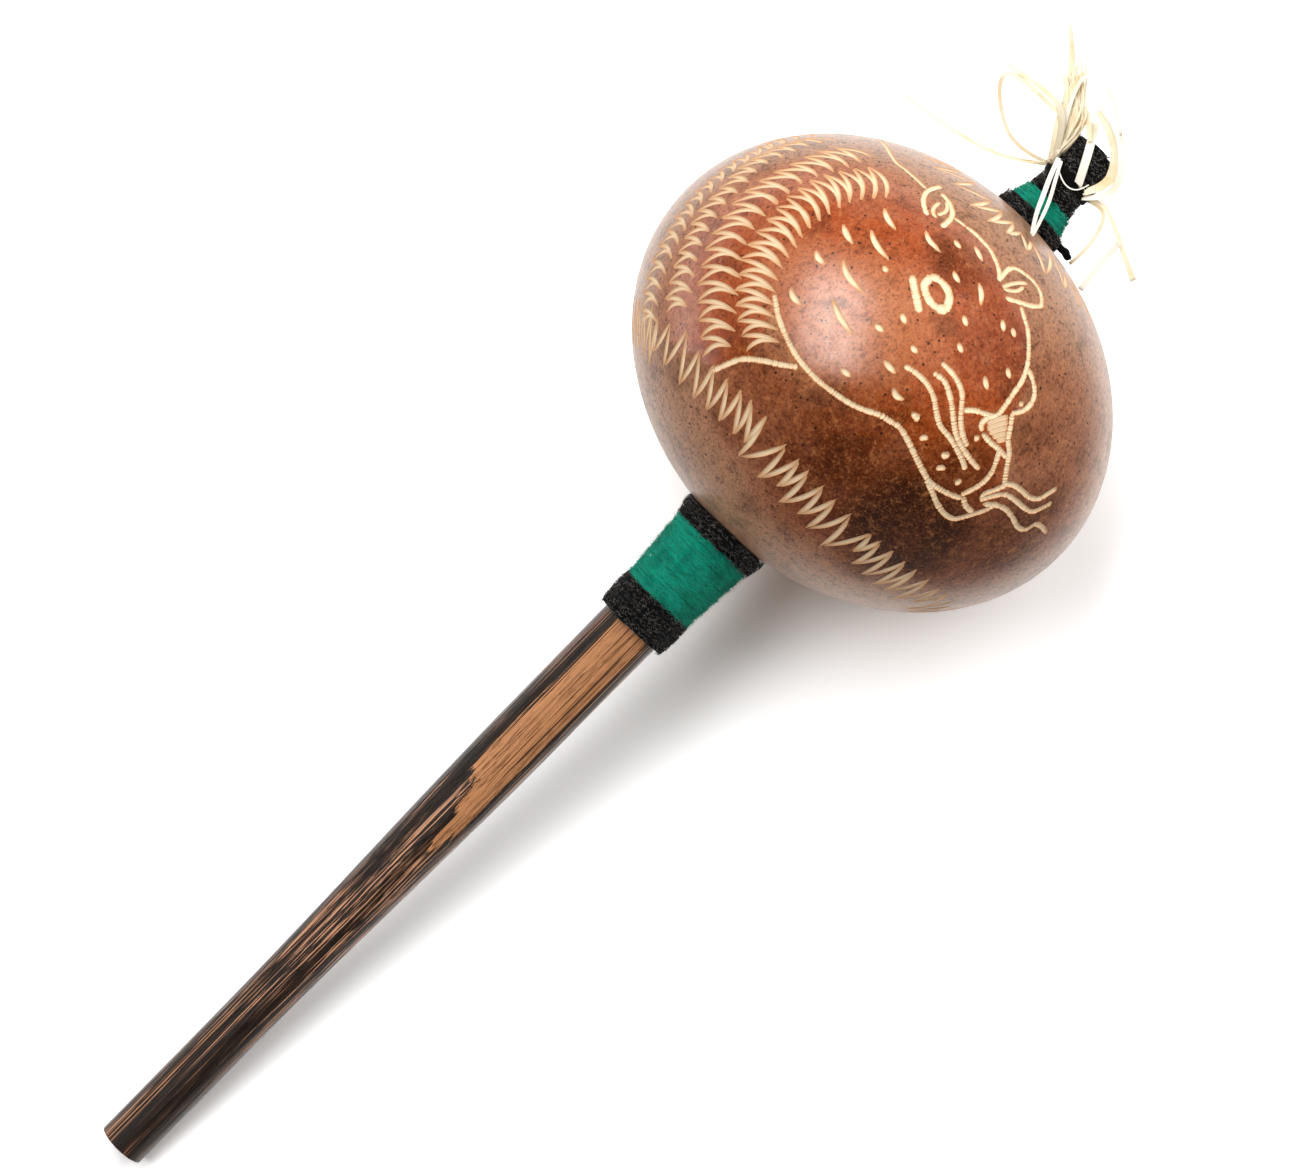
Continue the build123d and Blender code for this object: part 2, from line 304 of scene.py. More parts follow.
@dataclass(frozen=True)
class PhotoCamera:
    """The camera that the photograph was taken with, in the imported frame.

    Attributes:
        width, height: The photograph's size in pixels.
        focal: Focal length in pixels.
        sensor: Width of the sensor in millimetres.
        bearing: The turn of its view from the X axis, seen from above.
        dip: How far its view points down.
        place: Where it stands.
        enlarged_from: The photograph's pixel at the corner of the enlargement that guides were read on.
        enlarged_by: The enlargement's scale.
    """

    width: int = 1294
    height: int = 1170
    focal: float = 3500.0
    sensor: float = 36.0
    bearing: float = math.radians(45.736)
    dip: float = math.radians(77.0)
    place: Vector = field(default_factory=lambda: Vector((-200.2, -127.4, 831.6)) * MM)
    enlarged_from: Pixel = (620.0, 120.0)
    enlarged_by: float = 3.0745

    @property
    def forward(self) -> Vector:
        """The direction of view."""
        flat = math.cos(self.dip)
        return Vector((math.cos(self.bearing) * flat, math.sin(self.bearing) * flat, -math.sin(self.dip)))

    @property
    def right(self) -> Vector:
        """The picture's direction to the right."""
        return Vector((math.sin(self.bearing), -math.cos(self.bearing), 0))

    def ray(self, pixel: Pixel) -> Vector:
        """Return the direction that a pixel of the photograph looks along.

        Args:
            pixel: The pixel.

        Returns:
            The direction.
        """
        across = (pixel[0] - self.width / 2) / self.focal
        down = (pixel[1] - self.height / 2) / self.focal
        return self.forward + self.right * across - self.right.cross(self.forward) * down

    def mark(self, point: Vector) -> Pixel:
        """Return the point of the enlargement at which a point in space is seen.

        Args:
            point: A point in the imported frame.

        Returns:
            The point of the enlargement.
        """
        away = point - self.place
        deep = away.dot(self.forward)
        x = self.width / 2 + away.dot(self.right) / deep * self.focal
        y = self.height / 2 - away.dot(self.right.cross(self.forward)) / deep * self.focal
        return (x - self.enlarged_from[0]) * self.enlarged_by, (y - self.enlarged_from[1]) * self.enlarged_by

    def guide(self, surface: GourdSurface, marks: Sequence[Pixel]) -> list[Vector]:
        """Carry points of the enlargement onto the gourd.

        Args:
            surface: The gourd's surface.
            marks: Points of the enlargement.

        Returns:
            The surface point behind each.
        """
        pixels = [
            (self.enlarged_from[0] + x / self.enlarged_by, self.enlarged_from[1] + y / self.enlarged_by)
            for x, y in marks
        ]
        return [surface.hit(self.place, self.ray(pixel)) for pixel in pixels]

    def build(self) -> None:
        """Add the camera to the scene."""
        data = bpy.data.cameras.new("photo_camera")
        data.sensor_width = self.sensor
        data.lens = self.focal / self.width * self.sensor
        data.clip_start = 0.01
        camera = put("photo_camera", data)
        camera.location = self.place
        camera.rotation_euler = self.forward.to_track_quat("-Z", "Y").to_euler()
        bpy.context.scene.camera = camera


class Tree:
    """Adds and joins the nodes of one material, world or node group."""

    def __init__(self, nodes: bpy.types.NodeTree) -> None:
        """Take the nodes of a material, a world or a group."""
        self.nodes = nodes

    def add(self, kind: str, inputs: dict | None = None, **settings: object) -> bpy.types.Node:
        """Add a node.

        Args:
            kind: The node's type.
            inputs: Values or sockets for its inputs, by name or number.
            settings: Its other properties.

        Returns:
            The node.
        """
        node = self.nodes.nodes.new(kind)
        for name, value in settings.items():
            setattr(node, name, value)
        for name, value in (inputs or {}).items():
            if isinstance(value, Socket):
                self.nodes.links.new(value, node.inputs[name])
            else:
                node.inputs[name].default_value = value
        return node

    def math(self, operation: str, a: Value, b: Value = 0.0) -> Socket:
        """Return the result of a sum on one or two values."""
        return self.add("ShaderNodeMath", {0: a, 1: b}, operation=operation).outputs[0]

    def spread(
        self, value: Value, low: float, high: float, to_low: float = 0.0, to_high: float = 1.0
    ) -> Socket:
        """Return a value carried from one range to another, with soft ends.

        Args:
            value: The value.
            low, high: The range that it comes from.
            to_low, to_high: The range that it goes to.

        Returns:
            The new value.
        """
        node = self.add(
            "ShaderNodeMapRange",
            {"Value": value, "From Min": low, "From Max": high, "To Min": to_low, "To Max": to_high},
            interpolation_type="SMOOTHSTEP",
        )
        return node.outputs["Result"]

    def blend(self, share: Value, first: Tint, second: Tint) -> Socket:
        """Return a colour mixed from two."""
        return self.add("ShaderNodeMix", {0: share, 6: first, 7: second}, data_type="RGBA").outputs[2]

    def noise(self, vector: Socket, scale: float, detail: float = 4.0, rough: float = 0.55) -> Socket:
        """Return a noise value."""
        inputs = {"Vector": vector, "Scale": scale, "Detail": detail, "Roughness": rough}
        return self.add("ShaderNodeTexNoise", inputs).outputs[0]

    def group(self, effect: bpy.types.NodeTree, inputs: dict) -> bpy.types.Node:
        """Add a shared effect."""
        return self.add("ShaderNodeGroup", inputs, node_tree=effect)

    def object_coordinates(self) -> Socket:
        """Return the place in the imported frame, in metres."""
        return self.add("ShaderNodeTexCoord").outputs["Object"]


class Effects:
    """Shader groups that several finishes share. They give masks and heights only."""

    @staticmethod
    def _group(
        name: str, inputs: Sequence[str], outputs: Sequence[str]
    ) -> tuple[Tree, bpy.types.Node, bpy.types.Node]:
        """Start a group with its sockets.

        Args:
            name: The group's name.
            inputs: Names of the numbers that it takes besides a place.
            outputs: Names of the numbers that it gives.

        Returns:
            Its tree, its input node and its output node.
        """
        group = bpy.data.node_groups.new(name, "ShaderNodeTree")
        group.interface.new_socket("Vector", in_out="INPUT", socket_type="NodeSocketVector")
        for way, labels in (("INPUT", inputs), ("OUTPUT", outputs)):
            for label in labels:
                group.interface.new_socket(label, in_out=way, socket_type="NodeSocketFloat")
        tree = Tree(group)
        return tree, tree.add("NodeGroupInput"), tree.add("NodeGroupOutput")

    def __init__(self, line: StickLine) -> None:
        """Build the groups.

        Args:
            line: The stick's line.
        """
        self.tilt = math.atan2(line.way.z, line.way.x)
        self.streaks = self._streaks()
        self.spots = self._spots()

    def _streaks(self) -> bpy.types.NodeTree:
        """Long thin streaks that run along the stick.

        Returns:
            The group, which gives broad streaks and finer fibres.
        """
        tree, given, result = self._group("long_streaks", ("Across", "Stretch"), ("Streak", "Fibre"))
        turned = tree.add(
            "ShaderNodeMapping", {"Vector": given.outputs["Vector"], "Rotation": (0, self.tilt, 0)}
        )
        parts = tree.add("ShaderNodeSeparateXYZ", {0: turned.outputs[0]})
        along = tree.math("DIVIDE", parts.outputs["X"], given.outputs["Stretch"])
        drawn = tree.add(
            "ShaderNodeCombineXYZ", {"X": along, "Y": parts.outputs["Y"], "Z": parts.outputs["Z"]}
        )
        broad = tree.add("ShaderNodeTexNoise", {"Vector": drawn.outputs[0], "Detail": 5.0, "Roughness": 0.6})
        tree.nodes.links.new(given.outputs["Across"], broad.inputs["Scale"])
        fibres_in_streak = 4.0
        finer = tree.math("MULTIPLY", given.outputs["Across"], fibres_in_streak)
        fine = tree.add("ShaderNodeTexNoise", {"Vector": drawn.outputs[0], "Scale": finer, "Detail": 3.0})
        tree.nodes.links.new(broad.outputs[0], result.inputs["Streak"])
        tree.nodes.links.new(fine.outputs[0], result.inputs["Fibre"])
        return tree.nodes

    def _spots(self) -> bpy.types.NodeTree:
        """Small scattered spots, on some cells of a grid and not on others.

        Returns:
            The group, which gives a mask.
        """
        tree, given, result = self._group("scattered_spots", ("Scale", "Size", "Share"), ("Spot",))
        cells = tree.add(
            "ShaderNodeTexVoronoi", {"Vector": given.outputs["Vector"], "Scale": given.outputs["Scale"]}
        )
        inside = tree.math("LESS_THAN", cells.outputs["Distance"], given.outputs["Size"])
        pick = tree.add("ShaderNodeSeparateColor", {0: cells.outputs["Color"]})
        chosen = tree.math("LESS_THAN", pick.outputs[0], given.outputs["Share"])
        tree.nodes.links.new(tree.math("MULTIPLY", inside, chosen), result.inputs["Spot"])
        return tree.nodes


@dataclass(frozen=True)
class Finish:
    """A surface finish, made into a material once.

    Attributes:
        name: The material's name.
        effects: The shared shader groups.
    """

    name: str
    effects: Effects

    def material(self) -> bpy.types.Material:
        """Make the material.

        Returns:
            The material.
        """
        made = bpy.data.materials.new(self.name)
        made.use_nodes = True
        tree = Tree(made.node_tree)
        shader = made.node_tree.nodes["Principled BSDF"]
        self.paint(tree, shader)
        return made

    def paint(self, tree: Tree, shader: bpy.types.Node) -> None:
        """Set up the material's nodes.

        Args:
            tree: The material's nodes.
            shader: Its Principled node.
        """
        raise NotImplementedError

    @staticmethod
    def feed(tree: Tree, shader: bpy.types.Node, **values: Value | Tint) -> None:
        """Set inputs of the Principled node, underscores standing for spaces.

        Args:
            tree: The material's nodes.
            shader: The Principled node.
            values: A value or a socket for each input.
        """
        for label, value in values.items():
            socket = shader.inputs[label.replace("_", " ")]
            if isinstance(value, Socket):
                tree.nodes.links.new(value, socket)
            else:
                socket.default_value = value

    @staticmethod
    def relief(tree: Tree, height: Socket, distance: float, strength: float = 1.0) -> Socket:
        """Return a normal bent by a height."""
        node = tree.add("ShaderNodeBump", {"Height": height, "Distance": distance, "Strength": strength})
        return node.outputs[0]


@dataclass(frozen=True)
class GourdSkin(Finish):
    """Stained and burnished gourd skin. Its stains, painted highlight and painted shade are masks kept on
    the mesh.

    Attributes:
        grey, red, amber, brown, soot_and_shade: The bare skin, and the colours laid over it in turn. The
            grey is
        pale enough to be partly a painted reflection of the floor at the rims; amber is laid as a painted
        highlight where the key lamp's sheen falls; brown and soot_and_shade pools are partly darker stain
        and partly painted shade of the lower side. Amber and soot_and_shade mottle it too.
        pore: The colour of its pores.
        pores: Scale, size and share of its large pores and its small ones.
        cloud, mottle, grain, hair: Scales of its broad clouds, blotches, grain and hairlines.
        grain_height: How high the grain stands.
        rough, burnish: How rough the bare skin is, and how much smoother the burnished face is.
        rim: How much polish the skin has where it turns away.
    """

    # Pale enough to be partly a painted reflection of the floor at the rims.
    grey: Colour = screen(176, 134, 106)
    red: Colour = screen(182, 78, 26)
    amber: Colour = screen(214, 140, 84)
    brown: Colour = screen(134, 60, 22)
    soot_and_shade: Colour = screen(56, 24, 10)
    pore: Colour = screen(36, 18, 10)
    pores: tuple[tuple[float, float, float], ...] = ((500.0, 0.16, 0.45), (900.0, 0.13, 0.12))
    cloud: float = 110.0
    mottle: float = 420.0
    grain: float = 1350.0
    hair: float = 380.0
    grain_height: float = 0.1 * MM
    rough: float = 0.58
    burnish: float = 0.24
    rim: float = 0.7

    def paint(self, tree: Tree, shader: bpy.types.Node) -> None:
        """Set up the skin: stains, painted highlight and shade, mottling, hairlines, pores and a polish that
        varies.

        Args:
            tree: The material's nodes.
            shader: Its Principled node.
        """
        place = tree.object_coordinates()
        cloud = tree.noise(place, self.cloud, 5.0, 0.6)
        mottle = tree.noise(place, self.mottle, 6.0, 0.75)
        grain = tree.noise(place, self.grain, 4.0, 0.7)
        base = self.grey
        masks = {
            name: tree.add("ShaderNodeAttribute", attribute_name=name).outputs["Fac"]
            for name in ("face", "sheen_tint", "shade", "soot_and_shade")
        }
        # Painted highlight in sheen_tint; partly painted shade in the shade and soot_and_shade pools.
        for name, colour in zip(masks, (self.red, self.amber, self.brown, self.soot_and_shade)):
            uneven = tree.math("MULTIPLY", masks[name], tree.spread(cloud, 0.25, 0.6, 0.75, 1.0))
            base = tree.blend(uneven, base, colour)
        base = tree.blend(tree.spread(cloud, 0.5, 0.66, 0.0, 0.4), base, self.soot_and_shade)
        rougher = tree.spread(masks["face"], 0.3, 1.0, 1.0, 0.6)
        mottled = tree.math("MULTIPLY", tree.spread(mottle, 0.5, 0.68, 0.0, 0.65), rougher)
        base = tree.blend(mottled, base, self.soot_and_shade)
        base = tree.blend(tree.spread(mottle, 0.48, 0.3, 0.0, 0.45), base, self.amber)
        base = tree.blend(tree.spread(grain, 0.5, 0.66, 0.0, 0.6), base, self.soot_and_shade)
        base = tree.blend(tree.spread(grain, 0.46, 0.3, 0.0, 0.4), base, self.amber)
        hair = tree.math("SUBTRACT", tree.noise(place, self.hair, 4.0, 0.7), 0.5)
        hair = tree.math("ABSOLUTE", hair)
        base = tree.blend(tree.spread(hair, 0.012, 0.0, 0.0, 0.3), base, self.amber)
        spots = []
        for scale, size, part in self.pores:
            inputs = {"Vector": place, "Scale": scale, "Size": size, "Share": part}
            spots.append(tree.group(self.effects.spots, inputs).outputs["Spot"])
        pitted = tree.math("MAXIMUM", *spots)
        base = tree.blend(tree.math("MULTIPLY", pitted, 0.85), base, self.pore)
        height = tree.math("SUBTRACT", grain, pitted)
        polish = tree.spread(masks["face"], 0.3, 1.0)
        dull = tree.spread(tree.math("MAXIMUM", masks["shade"], masks["soot_and_shade"]), 0.2, 0.7, 1.0, 0.1)
        facing = tree.add("ShaderNodeLayerWeight", {"Blend": 0.5}).outputs["Facing"]
        gloss = tree.math("MULTIPLY", polish, dull)
        gloss = tree.math("MULTIPLY", gloss, tree.spread(mottle, 0.4, 0.62, 0.92, 0.68))
        gloss = tree.math("MAXIMUM", gloss, tree.spread(facing, 0.45, 0.92, 0.0, self.rim))
        rough = tree.math("SUBTRACT", self.rough, tree.math("MULTIPLY", polish, self.burnish))
        rough = tree.math("ADD", rough, tree.spread(grain, 0.3, 0.7, -0.06, 0.06))
        normal = self.relief(tree, height, self.grain_height, 0.7)
        self.feed(tree, shader, Base_Color=base, Roughness=rough, Specular_IOR_Level=0.08, Normal=normal)
        self.feed(tree, shader, Coat_Weight=gloss, Coat_Roughness=0.32, Coat_IOR=1.9)


@dataclass(frozen=True)
class GourdFlesh(Finish):
    """The pale flesh bared by the gouge.

    Attributes:
        surface: The gourd's surface, under which the depth is measured.
        pale, rind: Its colour deep down, and just under the skin.
        rind_depths: Depths between which one turns into the other, in millimetres.
    """

    surface: GourdSurface
    pale: Colour = screen(255, 232, 194)
    rind: Colour = screen(212, 156, 106)
    rind_depths: tuple[float, float] = (0.05, 0.45)

    def paint(self, tree: Tree, shader: bpy.types.Node) -> None:
        """Set up the flesh: browner at the rind, pale below, with short fibres.

        Args:
            tree: The material's nodes.
            shader: Its Principled node.
        """
        place = tree.object_coordinates()
        ball = tree.add(
            "ShaderNodeMapping",
            {
                "Vector": place,
                "Location": self.surface.centre,
                "Rotation": (0, -self.effects.tilt, 0),
                "Scale": (self.surface.half, self.surface.radius, self.surface.radius),
            },
            vector_type="TEXTURE",
        )
        length = tree.add("ShaderNodeVectorMath", {0: ball.outputs[0]}, operation="LENGTH").outputs["Value"]
        depth = tree.math("MULTIPLY", tree.math("SUBTRACT", 1.0, length), self.surface.radius / MM)
        grain = tree.noise(place, 900.0, 4.0)
        uneven = tree.math("ADD", depth, tree.math("MULTIPLY", grain, 0.1))
        share = tree.spread(uneven, *self.rind_depths)
        base = tree.blend(share, self.rind, self.pale)
        base = tree.blend(tree.spread(grain, 0.45, 0.8, 0.0, 0.35), base, self.rind)
        normal = self.relief(tree, grain, 0.08 * MM, 0.5)
        self.feed(tree, shader, Base_Color=base, Roughness=0.75, Normal=normal)


@dataclass(frozen=True)
class PalmWood(Finish):
    """Dark palm wood with straw fibres, and bare tan wood where it is shaved.

    The mesh keeps how far inside the shaved patch each place is.

    Attributes:
        dark, brown, straw: The wood, its paler parts and its straw fibres.
        bare, bare_line: The shaved wood, and the lines and cracks in it.
        streaks, bands: Scale across the stick and stretch along it, of the fibres and of bands of them.
        cracks: The same for each kind of crack in the shaved wood, with how strongly it shows.
    """

    dark: Colour = screen(17, 13, 11)
    brown: Colour = screen(66, 48, 37)
    straw: Colour = screen(210, 154, 118)
    bare: Colour = screen(210, 146, 98)
    bare_line: Colour = screen(60, 30, 17)
    streaks: tuple[float, float] = (2500.0, 130.0)
    bands: tuple[float, float] = (320.0, 40.0)
    cracks: tuple[tuple[float, float, float], ...] = (
        (2200.0, 34.0, 0.7), (3600.0, 12.0, 0.5), (1300.0, 60.0, 0.9)
    )

    def _along(self, tree: Tree, place: Socket, across: float, stretch: float) -> bpy.types.Node:
        """Add streaks along the stick, from their scale across it and their stretch along it."""
        return tree.group(self.effects.streaks, {"Vector": place, "Across": across, "Stretch": stretch})

    def paint(self, tree: Tree, shader: bpy.types.Node) -> None:
        """Set up the wood from fibres that run along the stick and the shaved patch.

        Args:
            tree: The material's nodes.
            shader: Its Principled node.
        """
        place = tree.object_coordinates()
        streaks = self._along(tree, place, *self.streaks)
        streak, fibre = streaks.outputs["Streak"], streaks.outputs["Fibre"]
        band = self._along(tree, place, *self.bands).outputs["Streak"]
        base = tree.blend(tree.spread(fibre, 0.42, 0.68), self.dark, self.brown)
        straw = tree.math("MULTIPLY", tree.spread(streak, 0.52, 0.57), tree.spread(band, 0.42, 0.56))
        inside = tree.add("ShaderNodeAttribute", attribute_name="shaved").outputs["Fac"]
        straw = tree.math("MULTIPLY", straw, tree.spread(inside, -1.2, -0.2, 1.0, 0.2))
        base = tree.blend(straw, base, self.straw)
        off_line = tree.math("ABSOLUTE", tree.math("SUBTRACT", streak, 0.5))
        lines = tree.spread(off_line, 0.012, 0.034, 1.0, 0.0)
        lines = tree.math("MULTIPLY", lines, tree.spread(band, 0.4, 0.56))
        bare = tree.blend(tree.math("MULTIPLY", lines, 0.85), self.bare, self.bare_line)
        bare = tree.blend(tree.spread(fibre, 0.48, 0.75, 0.0, 0.5), bare, self.bare_line)
        for across, stretch, most in self.cracks:
            crack = self._along(tree, place, across, stretch).outputs["Streak"]
            bare = tree.blend(tree.spread(crack, 0.59, 0.64, 0.0, most), bare, self.bare_line)
        splinters = tree.math("MULTIPLY", tree.math("SUBTRACT", streak, 0.5), 4.0)
        shaved = tree.spread(tree.math("ADD", inside, splinters), -0.05, 0.05)
        facing = tree.add("ShaderNodeLayerWeight", {"Blend": 0.5}).outputs["Facing"]
        base = tree.blend(shaved, base, bare)
        rough = tree.blend(shaved, (0.4, 0.4, 0.4, 1), (0.6, 0.6, 0.6, 1))
        rim = tree.spread(facing, 0.5, 0.95, 0.0, 0.9)
        normal = self.relief(tree, fibre, 0.12 * MM, 0.6)
        self.feed(tree, shader, Base_Color=base, Roughness=rough, Specular_IOR_Level=0.22, Normal=normal)
        self.feed(tree, shader, Coat_Weight=rim, Coat_Roughness=0.4, Coat_IOR=1.6)


@dataclass(frozen=True)
class Wool(Finish):
    """Fuzzy spun yarn.

    Attributes:
        thread: The yarn's main colour.
        lint: The colour of its paler fibres.
        deep: The colour between its threads.
        dust: The colour of specks of dust that it has caught.
    """

    thread: Colour
    lint: Colour
    deep: Colour
    dust: Colour = screen(214, 214, 206)

    def paint(self, tree: Tree, shader: bpy.types.Node) -> None:
        """Set up the yarn: flecked colour, darker patches, specks of dust and no polish.

        Args:
            tree: The material's nodes.
            shader: Its Principled node.
        """
        place = tree.object_coordinates()
        fleck = tree.noise(place, 2400.0, 4.0, 0.7)
        patch = tree.noise(place, 230.0, 3.0)
        base = tree.blend(tree.spread(fleck, 0.5, 0.85, 0.0, 0.6), self.thread, self.lint)
        base = tree.blend(tree.spread(patch, 0.35, 0.6, 0.5, 0.0), base, self.deep)
        speck = tree.group(self.effects.spots, {"Vector": place, "Scale": 420.0, "Size": 0.1, "Share": 0.05})
        base = tree.blend(speck.outputs["Spot"], base, self.dust)
        normal = self.relief(tree, fleck, 0.12 * MM, 0.8)
        self.feed(tree, shader, Base_Color=base, Roughness=0.95, Specular_IOR_Level=0.1, Normal=normal)
        self.feed(tree, shader, Sheen_Weight=0.05, Sheen_Roughness=0.5)


@dataclass(frozen=True)
class Straw(Finish):
    """Dry raffia: pale straw with fine ribs.

    Attributes:
        pale, tan: Its main colour, and the colour of its patches and ribs.
    """

    pale: Colour = screen(255, 244, 214)
    tan: Colour = screen(248, 212, 154)

    def paint(self, tree: Tree, shader: bpy.types.Node) -> None:
        """Set up the raffia.

        Args:
            tree: The material's nodes.
            shader: Its Principled node.
        """
        place = tree.object_coordinates()
        tone = tree.noise(place, 160.0, 3.0)
        rib = tree.noise(place, 2600.0, 2.0)
        base = tree.blend(tree.spread(tone, 0.45, 0.75, 0.0, 0.8), self.pale, self.tan)
        base = tree.blend(tree.spread(rib, 0.5, 0.8, 0.0, 0.25), base, self.tan)
        normal = self.relief(tree, rib, 0.05 * MM, 0.5)
        self.feed(tree, shader, Base_Color=base, Roughness=0.55, Normal=normal)


@dataclass(frozen=True)
class SeedCoat(Finish):
    """The dry brown coat of the seeds.

    Attributes:
        brown, dark: The two colours that it varies between.
    """

    brown: Colour = screen(84, 52, 30)
    dark: Colour = screen(40, 24, 14)

    def paint(self, tree: Tree, shader: bpy.types.Node) -> None:
        """Set up the seed coat.

        Args:
            tree: The material's nodes.
            shader: Its Principled node.
        """
        tone = tree.noise(tree.object_coordinates(), 700.0, 5.0)
        base = tree.blend(tree.spread(tone, 0.35, 0.7), self.brown, self.dark)
        normal = self.relief(tree, tone, 0.1 * MM, 0.5)
        self.feed(tree, shader, Base_Color=base, Roughness=0.5, Normal=normal)


@dataclass
class Run:
    """One line for a section to be swept along.

    Attributes:
        points: Points of the line.
        scales: The section's scale at each point.
        turns: The section's turn at each point.
    """

    points: list[Vector]
    scales: list[float]
    turns: list[float]


class Section(Enum):
    """Cross sections for swept pieces."""

    ROUND = "round"
    PLIED = "plied"
    RIBBON = "ribbon"

    def outline(self, sides: int) -> list[tuple[float, float]]:
        """Return the section's points, on a scale where its largest radius is about one.

        Args:
            sides: How many points it has.

        Returns:
            The points, in order round the section.
        """
        points = []
        for k in range(sides):
            turn = 2 * math.pi * k / sides
            x, y = math.cos(turn), math.sin(turn)
            if self is Section.PLIED:
                lobe = 1 - PLY_DEPTH + PLY_DEPTH * math.cos(PLIES * turn)
                x, y = x * lobe, y * lobe
            elif self is Section.RIBBON:
                y = RIBBON_THICKNESS * y + RIBBON_CURL * x * x
            points.append((x, y))
        return points


def sweep(
    name: str,
    runs: Sequence[Run],
    section: Section,
    sides: int,
    smooth_steps: int = 0,
    lying: bool = False,
) -> bpy.types.Mesh:
    """Sweep a section along lines and keep the result as a mesh.

    Args:
        name: The mesh's name.
        runs: The lines.
        section: The section's form.
        sides: How many points the section has.
        smooth_steps: Steps between two points of a smooth spline through them, or 0 for straight runs.
        lying: Whether the section's width lies level.

    Returns:
        The mesh, with its ends closed.
    """
    ring = bpy.data.curves.new(name + "_section", "CURVE")
    ring.dimensions = "2D"
    edge = ring.splines.new("POLY")
    edge.points.add(sides - 1)
    for point, (x, y) in zip(edge.points, section.outline(sides)):
        point.co = (x, y, 0, 1)
    edge.use_cyclic_u = True
    curve = bpy.data.curves.new(name + "_line", "CURVE")
    curve.dimensions = "3D"
    curve.bevel_mode = "OBJECT"
    curve.twist_mode = "Z_UP" if lying else "MINIMUM"
    curve.use_fill_caps = True
    for run in runs:
        spline = curve.splines.new("NURBS" if smooth_steps else "POLY")
        spline.points.add(len(run.points) - 1)
        for point, place, scale, turn in zip(spline.points, run.points, run.scales, run.turns):
            point.co = (*place, 1)
            point.radius = scale
            point.tilt = turn
        if smooth_steps:
            spline.order_u = 3
            spline.use_endpoint_u = True
            spline.resolution_u = smooth_steps
    holders = [put(data.name, data) for data in (ring, curve)]
    curve.bevel_object = holders[0]
    bpy.context.view_layer.update()
    mesh = bpy.data.meshes.new_from_object(holders[1].evaluated_get(bpy.context.evaluated_depsgraph_get()))
    mesh.name = name
    for holder in reversed(holders):
        data = holder.data
        bpy.data.objects.remove(holder)
        bpy.data.curves.remove(data)
    shape = bmesh.new()
    shape.from_mesh(mesh)
    bmesh.ops.remove_doubles(shape, verts=shape.verts, dist=CURVE_WELD)
    bmesh.ops.recalc_face_normals(shape, faces=shape.faces)
    shape.to_mesh(mesh)
    shape.free()
    mesh.shade_smooth()
    return mesh


def add_piece(
    name: str,
    mesh: bpy.types.Mesh,
    materials: Sequence[bpy.types.Material],
    replaced: Sequence[str] = (),
) -> bpy.types.Object:
    """Add a mesh to the rattle as a piece of its own.

    Args:
        name: The piece's name.
        mesh: Its mesh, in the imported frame.
        materials: Its materials, in order.
        replaced: CAD nodes that it stands for.

    Returns:
        The piece.
    """
    piece = put(name, mesh)
    for number, material in enumerate(materials):
        if number < len(mesh.materials):
            mesh.materials[number] = material
        else:
            mesh.materials.append(material)
    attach(piece, ROOT_BODY)
    if replaced:
        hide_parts(*replaced)
    return piece


def smooth_path(surface: GourdSurface, marks: Sequence[Vector], step: float) -> list[Vector]:
    """Draw a smooth line over the gourd through some points.

    Args:
        surface: The gourd's surface.
        marks: Points that the line goes through.
        step: Distance between the points returned.

    Returns:
        Evenly spaced points on the surface.
    """
    ends = [marks[0] * 2 - marks[1], *marks, marks[-1] * 2 - marks[-2]]
    dense: list[Vector] = []
    per_span, fewest = 14, 4
    for a, b, c, d in zip(ends, ends[1:], ends[2:], ends[3:]):
        for k in range(per_span):
            t = k / per_span
            curve = b * 2 + (c - a) * t + (a * 2 - b * 5 + c * 4 - d) * t**2 + (b * 3 - a - c * 3 + d) * t**3
            dense.append(surface.settle(curve / 2))
    dense.append(surface.settle(marks[-1]))
    total = sum((b - a).length for a, b in zip(dense, dense[1:]))
    count = max(int(total / step), fewest)
    path, run, goal = [dense[0]], 0.0, total / count
    for a, b in zip(dense, dense[1:]):
        gap = (b - a).length
        while gap > 0 and run + gap >= goal and len(path) < count:
            path.append(surface.settle(a.lerp(b, (goal - run) / gap)))
            goal += total / count
        run += gap
    return [*path, dense[-1]]


